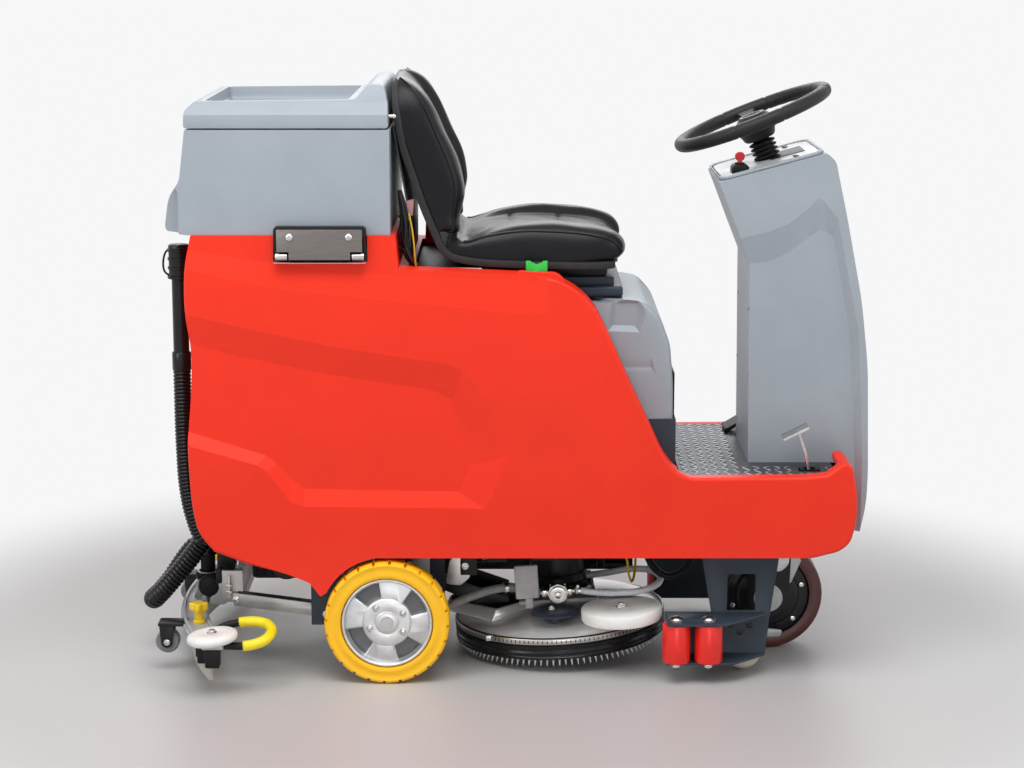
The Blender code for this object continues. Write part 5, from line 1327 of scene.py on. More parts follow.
def platform():
    plate = softened(node_copy("foot_plate"), 0.001, 2)
    done(plate, "platform_plate", "chassis", TREAD, "foot_plate", 30)
    bpy.ops.object.select_all(action="DESELECT")
    bpy.ops.mesh.primitive_uv_sphere_add(segments=12, ring_count=6, radius=1.0)
    lens = bpy.context.object
    lens.scale = (0.0105, 0.0032, 0.0016)
    settled(lens)
    places = []
    for i in range(15):
        for j in range(24):
            x, y = 0.618 + i * 0.0215, -0.24 + j * 0.0209
            if abs(y) < 0.13 and x > 0.745 or abs(y) < COLUMN_HALF + 0.012 and x > 0.742:
                continue
            if abs(x - 0.877) < 0.034 and abs(y + 0.2) < 0.03:
                continue
            places.append((at(x, y, PLATFORM_Z), math.radians(45 if (i + j) % 2 else -45)))
    done(repeated(lens, places), "platform_tread", "chassis", TREAD_TOP, angle=60)
    pedal = softened(node_copy("brake_pedal"), 0.0012, 2, 35)
    done(pedal, "brake_lever", "brake", PLATED, "brake_pedal")
    boot = softened(outline_mesh([(0.858, 0.4372), (0.858, 0.4395), (0.896, 0.4395),
                                  (0.896, 0.4372)], -0.214, -0.186), 0.001)
    carve(boot, block(at(0.8655, -0.2115, 0.43), at(0.8885, -0.1885, 0.45)))
    done(boot, "brake_slot_edge", "chassis", BLACK)
    treadle = softened(node_copy("accelerator_pedal"), 0.0015, 2, 35)
    ribs = [bar(at(0.752 + 0.01 * i, 0.16, 0.4525 + 0.006 * i),
                at(0.752 + 0.01 * i, 0.22, 0.4525 + 0.006 * i), 0.0022, 10) for i in range(6)]
    done(joined(treadle, *ribs), "accelerator_treadle", "accelerator", RUBBER,
         "accelerator_pedal")
    (x, y), low = TAP, 0.8545
    wing = [(-0.021, -0.0052), (-0.012, -0.0046), (0.0, -0.003), (0.012, -0.0046), (0.021, -0.0052),
            (0.0225, 0.0), (0.021, 0.0052), (0.012, 0.0046), (0.0, 0.003), (-0.012, 0.0046),
            (-0.021, 0.0052), (-0.0225, 0.0)]
    grip = flat_outline(rounded_corners(wing, 0.003, 3), low + 0.0035, low + 0.0265)
    grip.data.transform(Matrix.Translation(at(x, y, 0)))
    saddle = outline_mesh([(x - 0.015, low + 0.03), (x - 0.011, low + 0.0245), (x, low + 0.0195),
                           (x + 0.011, low + 0.0235), (x + 0.016, low + 0.03)], y - 0.02, y + 0.02)
    heel = outline_mesh([(x + 0.014, low), (x + 0.0235, low), (x + 0.0235, low + 0.0065)], y - 0.02,
                        y + 0.02)
    carve(grip, saddle, heel)
    softened(grip, 0.0016, 2, 30)
    stem = turned([(0.0, low), (0.007, low), (0.0075, low + 0.008), (0.0, low + 0.01)], at(x, y, 0),
                  UP, 32)
    done(joined(grip, stem), "water_tap_handle", "tap", GREEN, "water_tap")


# ---------------------------------------------------------------- front guards and their rollers
def front_guards():
    for side, word in SIDES:
        y0, y1 = span(side, 0.29, 0.33)
        guard = carve(node_copy("front_guard_" + word),
                      block(at(0.565, y0, 0.036), at(0.72, y1, 0.04535)))
        softened(guard, 0.0009, 2, 30)
        done(guard, "front_guard_plate_" + word, "chassis", SLATE,
             "front_guard_" + word, 30)
        caps, nuts = [], []
        for x, end in zip((0.6, 0.667), ("rear", "front")):
            spot = at(x, side * 0.278, 0)
            caps.append(turned([(0.0, 0.1438), (0.006, 0.1432), (0.011, 0.1412), (0.0142, 0.1378),
                                (0.0142, 0.133), (0.0, 0.133)], spot, UP, 40))
            nuts.append(hex_bolt(spot + Vector((0, 0, 0.0415)), (0, 0, -1), 0.009, 0.0085, 0.003))
            roller = turned([(0.0066, 0.0455), (0.0245, 0.0455), (0.0277, 0.0468), (0.029, 0.05),
                             (0.029, 0.1245), (0.0277, 0.1277), (0.0245, 0.129), (0.012, 0.129),
                             (0.011, 0.1275), (0.0066, 0.1275)], spot, UP, 64)
            done(roller, f"bumper_roller_moulding_{word}_{end}", f"bumper_{word}_{end}", ROLLER_RED,
                 f"bumper_roller_{word}_{end}")
        bolts = bolts_at([(x, side * 0.2153, z)
                          for x, z in ((0.718, 0.106), (0.738, 0.09), (0.758, 0.104), (0.7, 0.262),
                                       (0.79, 0.262))], (0, side, 0), 0.0052, 0.004)
        done(joined(*caps, *nuts), "bumper_caps_" + word, "chassis", PLATED, angle=30)
        done(joined(*bolts), "guard_bolts_" + word, "chassis", BLACK_STEEL, angle=30)
        low, high = span(side, 0.2083, 0.1783)
        spot = at(0.747, 0, 0.0425)
        wheel = turned([(0.0056, low), (0.03, low), (0.036, low + 0.006), (0.036, high - 0.006),
                        (0.03, high), (0.0056, high)], spot, ACROSS, 56)
        done(wheel, "anti_tip_wheel_" + word, "anti_tip_" + word, CREAM,
             "anti_tip_roller_" + word)


# ---------------------------------------------------------------- brush deck
def lifted(obj):
    """Turns a deck piece, made level, to the raised deck."""
    pivot = at(0.1, 0, 0.16)
    obj.data.transform(Matrix.Translation(pivot) @ Matrix.Rotation(-DECK_TILT, 4, "Y")
                       @ Matrix.Translation(-pivot))
    return obj


def brush_deck():
    centre = at(DECK_X, 0, 0)
    pan = turned([(0.01, 0.0855), (0.12, 0.085), (0.155, 0.0825), (0.182, 0.078), (0.203, 0.0725),
                  (0.215, 0.0672), (0.222, 0.0615), (0.222, 0.052), (0.218, 0.052), (0.216, 0.06),
                  (0.2, 0.066), (0.13, 0.079), (0.01, 0.079)], centre, UP, 160)
    foot = [(0.212, -0.127), (0.342, -0.026), (0.446, -0.036), (0.446, 0.036), (0.342, 0.026),
            (0.212, 0.127), (0.108, 0.02), (0.108, -0.02)]
    head = [(0.222, -0.112), (0.333, -0.022), (0.44, -0.03), (0.44, 0.03), (0.333, 0.022),
            (0.222, 0.112), (0.12, 0.018), (0.12, -0.018)]
    shape = bmesh.new()
    rings = [[shape.verts.new(at(x, y, z)) for x, y in line]
             for line, z in ((foot, 0.078), (head, 0.1015))]
    banded(shape, rings)
    shape.faces.new(rings[0])
    shape.faces.new(rings[1])
    tower = softened(made_from(shape, "tower"), 0.003, 3, 20)
    roller_arm = block(at(0.425, -0.22, 0.08), at(0.507, -0.09, 0.0905), 0.003)
    stud = post(*WALL_ROLLER, 0.082, 0.124, 0.008, 24, 0.001)
    shine = lifted(joined(pan, tower, roller_arm, stud))
    done(shine, "deck_pan", "deck", POLISHED, "brush_deck", 32)
    tops = [softened(outline_mesh([(x * 0.97 + 0.0075, y * 0.96) for x, y in head], 0.1014, 0.103,
                                  "XY"), 0.0006),
            block(at(0.272, -0.078, 0.1), at(0.436, 0.078, 0.115), 0.002)]
    bars = [outline_mesh([(0.086, 0.15), (0.086, 0.172), (0.112, 0.172), (0.25, 0.114),
                          (0.25, 0.086), (0.215, 0.086)], *span(s, 0.06, 0.0685)) for s in (-1, 1)]
    for piece in bars:
        softened(piece, 0.0015, 2)
    pin = bar(at(0.1, -0.13, 0.16), at(0.1, 0.13, 0.16), 0.006, 24, 0.001)
    done(lifted(joined(*tops, *bars, pin)), "deck_frame_bars", "deck", BLACK_STEEL,
         angle=30)
    pad = turned([(0.0, 0.0985), (0.04, 0.0985), (0.05, 0.1005), (0.0515, 0.1035), (0.049, 0.106),
                  (0.03, 0.1085), (0.0, 0.1095)], at(0.347, -0.16, 0), UP, 64)
    stem = post(0.347, -0.16, 0.07, 0.1, 0.014, 24)
    done(lifted(joined(pad, stem)), "deck_rubber_pad", "deck", SLATE, angle=40)
    bolt = hex_bolt(at(0.34, -0.16, 0.109), UP, 0.0062, 0.0055, 0.002)
    done(lifted(bolt), "deck_pad_bolt", "deck", PLATED, angle=30)

    skirt = turned([(0.2228, 0.064), (0.2255, 0.064), (0.2258, 0.0475), (0.2285, 0.0455),
                    (0.2285, 0.042), (0.2262, 0.04), (0.2262, 0.0345), (0.2285, 0.0325),
                    (0.2285, 0.0295), (0.2262, 0.0275), (0.2262, 0.0235), (0.2285, 0.0215),
                    (0.228, 0.0175), (0.224, 0.0175), (0.2228, 0.02)], centre, UP, 160)
    done(lifted(skirt), "deck_skirt_rubber", "deck", HOSE, "deck_skirt", 50)
    band = turned([(0.2258, 0.0505), (0.228, 0.0505), (0.2286, 0.0515), (0.2286, 0.061),
                   (0.228, 0.062), (0.2258, 0.062)], centre, UP, 192)
    slots = []
    for i in range(72):
        turn = math.radians(180 + 2.5 * i)
        spot = centre + Vector((0.2286 * math.cos(turn), 0.2286 * math.sin(turn), 0.0563))
        slots.append((spot, turn))
    slot = block((-0.0006, -0.0011, -0.003), (0.0004, 0.0011, 0.003))
    done(lifted(repeated(slot, slots)), "clamp_band_slots", "deck", BLACK_STEEL)
    screw_box = block(centre + Vector((-0.16, -0.174, 0.05)),
                      centre + Vector((-0.14, -0.158, 0.063)), 0.002)
    done(lifted(joined(band, screw_box)), "deck_clamp_band", "deck", BRUSHED, angle=40)

    motor = turned([(0.0, 0.1153), (0.066, 0.1153), (0.066, 0.13), (0.062, 0.133), (0.062, 0.15),
                    (0.0595, 0.152), (0.0595, 0.205), (0.062, 0.207), (0.062, 0.224),
                    (0.056, 0.233), (0.02, 0.235), (0.0, 0.235)], centre, UP, 64)
    base = block(at(0.282, -0.075, 0.1153), at(0.432, 0.075, 0.125), 0.003)
    done(lifted(joined(motor, base)), "brush_motor_case", "deck", BLACK_STEEL,
         "brush_motor")
    bolts = bolts_at([(x, y, 0.1248) for x in (0.292, 0.422) for y in (-0.065, 0.065)], UP, 0.006,
                     0.005)
    done(lifted(joined(*bolts)), "brush_motor_bolts", "deck", PLATED, angle=30)

    disc = turned([(0.0, 0.112), (0.0118, 0.112), (0.0118, 0.046), (0.196, 0.046), (0.2015, 0.043),
                   (0.2015, 0.03), (0.0, 0.03)], centre, UP, 96)
    done(lifted(disc), "brush_disc", "brush", BLACK)
    bpy.ops.object.select_all(action="DESELECT")
    bpy.ops.mesh.primitive_cone_add(vertices=8, radius1=0.0066, radius2=0.0006, depth=0.034,
                                    location=(0, 0, 0.019), rotation=(math.pi, -0.5, 0))
    tuft = settled(bpy.context.object)
    tuft.data.transform(Matrix.Translation((0, 0, -0.0015)))
    places = []
    for radius, count in ((0.2115, 104), (0.178, 84), (0.155, 70), (0.13, 58), (0.105, 46)):
        for i in range(count):
            turn = 2 * math.pi * i / count + radius * 9
            places.append((centre + Vector((radius * math.cos(turn), radius * math.sin(turn), 0)),
                           turn))
    done(lifted(repeated(tuft, places)), "brush_tufts", "brush", BRISTLE, "disc_brush",
         20)

    roller = turned([(0.0086, 0.0908), (0.079, 0.0908), (0.0835, 0.0925), (0.085, 0.096),
                     (0.085, 0.1136), (0.0835, 0.1171), (0.079, 0.1188), (0.03, 0.1188),
                     (0.027, 0.117), (0.0086, 0.117)], at(*WALL_ROLLER, 0), UP, 96)
    done(lifted(roller), "deck_wall_roller_disc", "deck_wall_roller", NYLON,
         "deck_roller")
    nut = hex_bolt(at(*WALL_ROLLER, 0.1172), UP, 0.01, 0.0065, 0.003)
    done(lifted(nut), "deck_roller_nut", "deck", PLATED, angle=30)

    plate = block(at(0.266, -0.151, 0.131), at(0.316, -0.143, 0.205), 0.0035, 3)
    shelf = joined(block(at(0.272, -0.116, 0.1083), at(0.44, -0.07, 0.1163), 0.0015),
                   block(at(0.286, -0.145, 0.1083), at(0.302, -0.1, 0.14), 0.0015))
    done(lifted(joined(plate, shelf)), "valve_cover", "deck", PAINTED_GREY)
    body = block(at(0.338, -0.112, 0.1195), at(0.374, -0.092, 0.15), 0.003, 3)
    side_tube = bar(at(0.31, -0.125, 0.136), at(0.392, -0.125, 0.136), 0.0085, 32, 0.001)
    nuts = [bar(at(a, -0.125, 0.136), at(b, -0.125, 0.136), r, 6, 0.0012)
            for a, b, r in ((0.322, 0.333, 0.0135), (0.376, 0.386, 0.0135))]
    union = [bar(at(0.356, -0.092, 0.136), at(0.356, -0.134, 0.136), 0.0185, 40, 0.001),
             bar(at(0.356, -0.13, 0.136), at(0.356, -0.146, 0.136), 0.0228, 8, 0.002),
             bar(at(0.356, -0.146, 0.136), at(0.356, -0.157, 0.136), 0.019, 48, 0.001),
             bar(at(0.356, -0.14, 0.136), at(0.356, -0.155, 0.136), 0.0078, 6, 0.001)]
    carve(union[2], bar(at(0.356, -0.1475, 0.136), at(0.356, -0.17, 0.136), 0.0138, 48))
    clips = [turned([(0.0076, -0.003), (0.0092, -0.003), (0.0092, 0.003), (0.0076, 0.003)],
                    at(0.402, -0.125, 0.136), (1, 0, 0), 40),
             bar(at(0.399, -0.118, 0.1475), at(0.399, -0.134, 0.1475), 0.0032, 6)]
    done(lifted(joined(body, side_tube, *nuts, *union, *clips)), "feed_valve_fittings", "deck",
         PLATED, "feed_valve", 30)
    route = route_at([(0.3936, -0.125, 0.136), (0.404, -0.125, 0.136), (0.434, -0.138, 0.134),
                      (0.48, -0.15, 0.133), (0.53, -0.145, 0.133), (0.566, -0.118, 0.136),
                      (0.578, -0.075, 0.141), (0.56, -0.035, 0.146), (0.515, -0.015, 0.146),
                      (0.47, -0.012, 0.14), (0.4195, -0.01, 0.136)])
    hose = tube(route, 0.0072, 16, 8, ribbed(0.0042, 0.0074, 0.0067))
    done(lifted(hose), "feed_hose_braid", "deck", BRAID, "feed_hose", 60)
    grey_route = route_at([(0.075, -0.17, 0.12), (0.12, -0.172, 0.132), (0.165, -0.168, 0.147),
                           (0.215, -0.15, 0.156), (0.262, -0.133, 0.154), (0.3, -0.127, 0.142),
                           (0.318, -0.125, 0.136)])
    grey = tube(grey_route, 0.0092, 14, 8, ribbed(0.0036, 0.0094, 0.0086))
    done(lifted(grey), "feed_hose_grey", "deck", GREY_HOSE, angle=60)
    clamp = turned([(0.0096, -0.004), (0.0112, -0.004), (0.0112, 0.004), (0.0096, 0.004)],
                   at(0.245, -0.139, 0.1555), (0.92, 0.35, -0.05), 40)
    done(lifted(clamp), "grey_hose_clamp", "deck", PLATED, angle=40)

    wall = block(at(0.09, 0.136, 0.128), at(0.53, 0.142, 0.3), 0.002)
    flanges = [block(at(x, 0.1, z), at(x + w, 0.138, z + 0.006), 0.001)
               for x, w, z in ((0.1, 0.12, 0.15), (0.26, 0.06, 0.171), (0.43, 0.09, 0.146))]
    boxes = [block(at(0.12, 0.072, 0.163), at(0.214, 0.138, 0.29), 0.006, 3),
             block(at(0.47, 0.08, 0.18), at(0.52, 0.138, 0.29), 0.006, 3)]
    done(joined(wall, *flanges, *boxes), "lift_bulkhead", "chassis", BLACK_STEEL)
    heads = bolts_at([(0.132, 0.0715, 0.178), (0.2, 0.0715, 0.172), (0.485, 0.0715, 0.19),
                      (0.235, 0.1355, 0.158), (0.255, 0.1355, 0.176), (0.425, 0.1355, 0.16),
                      (0.452, 0.1355, 0.172)], (0, -1, 0), 0.0065, 0.005)
    done(joined(*heads), "bulkhead_bolts", "chassis", PLATED, angle=30)
    top = 0.3107
    strut = turned([(0.0, 0.213), (0.016, 0.213), (0.019, 0.217), (0.019, top), (0.0, top)],
                   at(*STRUT, 0), UP, 48)
    rod = post(*STRUT, 0.16, 0.22, 0.009, 32, 0.001)
    done(joined(strut, rod), "deck_lift_strut", "chassis", BLACK_STEEL,
         "deck_actuator")
    coil = []
    for i in range(12 * 12 + 1):
        turn = 2 * math.pi * i / 12
        coil.append(at(0.414 + 0.0105 * math.cos(turn), -0.045 + 0.0105 * math.sin(turn),
                       0.252 + 0.058 * i / 144))
    guide = post(0.414, -0.045, 0.24, 0.312, 0.005, 16)
    done(tube(coil, 0.0015, 6, 1), "lift_spring", "chassis", BLACK_STEEL, angle=60)
    done(guide, "lift_spring_guide", "chassis", PLATED, angle=60)


# ---------------------------------------------------------------- cables and dark works below
def underside():
    conduit = tube(route_at([(0.54, -0.12, 0.3), (0.543, -0.125, 0.245), (0.562, -0.13, 0.205),
                             (0.595, -0.132, 0.188), (0.628, -0.13, 0.205), (0.646, -0.122, 0.25),
                             (0.65, -0.115, 0.3)]), 0.007, 14, 10, ribbed(0.0036, 0.008, 0.0066))
    done(conduit, "cable_conduit", "chassis", HOSE, angle=60)
    yellow = tube(route_at([(0.448, -0.06, 0.3), (0.456, -0.08, 0.262), (0.484, -0.11, 0.236),
                            (0.503, -0.116, 0.222), (0.508, -0.116, 0.19), (0.516, -0.108, 0.17),
                            (0.524, -0.08, 0.2), (0.526, -0.04, 0.3)]), 0.0027, 8)
    done(yellow, "yellow_lead", "chassis", WIRE_YELLOW, angle=60)
    white = tube(route_at([(0.553, -0.1, 0.3), (0.558, -0.105, 0.25), (0.575, -0.11, 0.225),
                           (0.598, -0.11, 0.24), (0.602, -0.105, 0.3)]), 0.0014, 8)
    done(white, "white_lead", "chassis", WIRE_WHITE, angle=60)
    plates = [block(at(*low), at(*high), 0.002)
              for low, high in (((0.3, -0.168, 0.232), (0.35, -0.162, 0.3)),
                                ((0.385, -0.15, 0.238), (0.4, -0.06, 0.3)),
                                ((0.47, -0.12, 0.245), (0.53, -0.112, 0.3)),
                                ((0.15, -0.168, 0.2), (0.185, -0.16, 0.3)),
                                ((0.205, -0.12, 0.215), (0.25, -0.04, 0.3)))]
    bolts = bolts_at([(0.312, -0.168, 0.25), (0.338, -0.168, 0.25), (0.48, -0.12, 0.262),
                      (0.518, -0.12, 0.262), (0.16, -0.168, 0.22), (0.175, -0.168, 0.25)],
                     (0, -1, 0), 0.006, 0.005, 0.002)
    done(joined(*plates), "underframe_plates", "chassis", BLACK_STEEL, angle=30)
    done(joined(*bolts), "underframe_bolts", "chassis", PLATED, angle=30)
    housing = block(at(-0.3, -0.085, 0.168), at(-0.185, 0.085, 0.262), 0.01, 3)
    lift = turned([(0.0, -0.095), (0.032, -0.095), (0.036, -0.09), (0.036, -0.02), (0.03, -0.015),
                   (0.0, -0.015)], at(-0.225, 0, 0.205), ACROSS, 48)
    ribs = [block(at(-0.295 + 0.018 * i, -0.0885, 0.18), at(-0.29 + 0.018 * i, -0.08, 0.25), 0.001)
            for i in range(3)]
    done(joined(housing, lift, *ribs), "squeegee_lift_housing", "chassis", BLACK_STEEL)
    guide = joined(block(at(-0.372, -0.104, 0.192), at(-0.334, -0.06, 0.262), 0.004, 3),
                   block(at(-0.345, -0.1, 0.214), at(-0.29, -0.064, 0.236), 0.003))
    done(guide, "hose_guide_bracket", "chassis", BLACK_STEEL)
    hangers = [block(at(-0.262, y - 0.003, 0.255), at(-0.218, y + 0.003, 0.28))
               for y in (-0.06, 0.06)]
    done(joined(*hangers), "lift_housing_hangers", "chassis", PAINTED_GREY)
    bracket_bolts = bolts_at([(-0.152, -0.18, 0.205), (-0.115, -0.18, 0.205),
                              (-0.1325, -0.18, 0.118)], (0, -1, 0), 0.007, 0.005, 0.002)
    done(joined(*bracket_bolts), "arm_pivot_bolts", "chassis", PLATED, angle=30)
    lug = [(0.118, 0.176), (0.126, 0.226), (0.15, 0.25), (0.166, 0.244), (0.17, 0.19),
           (0.15, 0.172)]
    done(softened(outline_mesh(rounded_corners(lug, 0.006, 3), -0.15, -0.136), 0.002, 2),
         "lift_lug", "chassis", CAST)


platform()
front_guards()
brush_deck()
underside()


# ---------------------------------------------------------------- tank hinge
def tank_hinge():
    x0, x1, y, z = -0.216, -0.038, -0.283, 0.895
    back = -SHELL_HALF + 0.0083
    plate = softened(outline_mesh([(x0 - 0.006, 0.884), (x0 - 0.006, 0.916), (x1 + 0.006, 0.916),
                                   (x1 + 0.006, 0.884)], back, back + 0.006), 0.001)
    pin = bar(at(x0 - 0.002, y, z), at(x1 + 0.002, y, z), 0.004, 24, 0.0006)
    arms = [block(at(a + 0.001, y + 0.002, z - 0.0055), at(b - 0.001, back + 0.003, z + 0.004),
                  0.001) for a, b in ((x0, x0 + 0.026), (x1 - 0.026, x1))]
    done(joined(plate, pin, *arms), "hinge_backplate", "chassis", BLACK,
         "hinge_bracket")
    knuckles = [bar(at(a, y, z), at(b, y, z), 0.008, 32, 0.001)
                for a, b in ((x0, x0 + 0.024), (x1 - 0.024, x1))]
    done(joined(*knuckles), "hinge_knuckles", "chassis", PLATED)
    foot = block(at(x0 - 0.003, y - 0.0095, z - 0.013), at(x1 + 0.003, back + 0.002, z - 0.0119))
    done(foot, "hinge_frame_foot", "chassis", PINK)
    surround = outline_mesh(rounded_corners([(x0 - 0.004, z + 0.035), (x0 - 0.004, z + 0.06),
                                             (x1 + 0.004, z + 0.06), (x1 + 0.004, z + 0.035)],
                                            0.009, 4, [1, 2]), -0.285, -0.2623)
    sides = [block(at(a, -0.285, z + 0.012), at(b, -0.279, z + 0.04), 0.001)
             for a, b in ((x0 - 0.004, x0 + 0.002), (x1 - 0.002, x1 + 0.004))]
    softened(surround, 0.0015, 2)
    done(joined(surround, *sides), "hinge_surround", "tank", BLACK)
    leaf_y = y - 0.0035
    leaf_line = [(x0 + 0.003, z + 0.0105), (x0 + 0.003, z + 0.0555), (x1 - 0.003, z + 0.0555),
                 (x1 - 0.003, z + 0.0105), (x1 - 0.03, z + 0.0105), (x1 - 0.03, z), (x0 + 0.03, z),
                 (x0 + 0.03, z + 0.0105)]
    leaf = outline_mesh(rounded_corners(leaf_line, 0.003, 2, [1, 2]), leaf_y, leaf_y + 0.003)
    softened(leaf, 0.0007, 2)
    barrel = bar(at(x0 + 0.027, y, z), at(x1 - 0.027, y, z), 0.0085, 32, 0.0008)
    carve(barrel, bar(at(x0 - 0.01, y, z), at(x1 + 0.01, y, z), 0.0046, 24))
    apron = outline_mesh([(x0 + 0.0275, z - 0.0055), (x0 + 0.0275, z + 0.014),
                          (x1 - 0.0275, z + 0.014), (x1 - 0.0275, z - 0.0055)], y - 0.0098,
                         y - 0.0082)
    leaf.data.transform(Matrix.Translation((0, -0.0064, 0)))
    spacer = block(at(x0 + 0.006, leaf_y - 0.004, z + 0.03),
                   at(x1 - 0.006, leaf_y + 0.004, z + 0.052))
    done(joined(leaf, barrel, softened(apron, 0.0006), spacer), "hinge_leaf_plate", "tank",
         HINGE_STEEL, "hinge_leaf")
    for word, x in (("rear", x0 + 0.029), ("front", x1 - 0.03)):
        head = turned([(0.0, 0.0046), (0.003, 0.0044), (0.0062, 0.0032), (0.0078, 0.0012),
                       (0.008, 0.0), (0.0, 0.0)], at(x, leaf_y - 0.0062, z + 0.04), (0, -1, 0), 32)
        carve(head, block(at(x - 0.004, leaf_y - 0.014, z + 0.0393),
                          at(x + 0.004, leaf_y - 0.0083, z + 0.0407)),
              block(at(x - 0.0007, leaf_y - 0.014, z + 0.036),
                    at(x + 0.0007, leaf_y - 0.0083, z + 0.044)))
        done(head, "hinge_screw_" + word, "tank", PLATED)


# ---------------------------------------------------------------- squeegee
def arc_band(inner, outer, low, high, half_width, steps=40):
    """A band of the squeegee's long curve, between two offsets from its blade line."""
    radius = (BLADE_SPAN ** 2 + BLADE_SAG ** 2) / (2 * BLADE_SAG)
    centre = (BLADE_REAR + radius, 0)
    sweep = math.degrees(math.asin(half_width / radius))
    outline = [*arc(centre, radius + outer, 180 - sweep, 180 + sweep, steps),
               *arc(centre, radius + inner, 180 + sweep, 180 - sweep, steps)]
    return outline_mesh(outline, low, high, "XY")


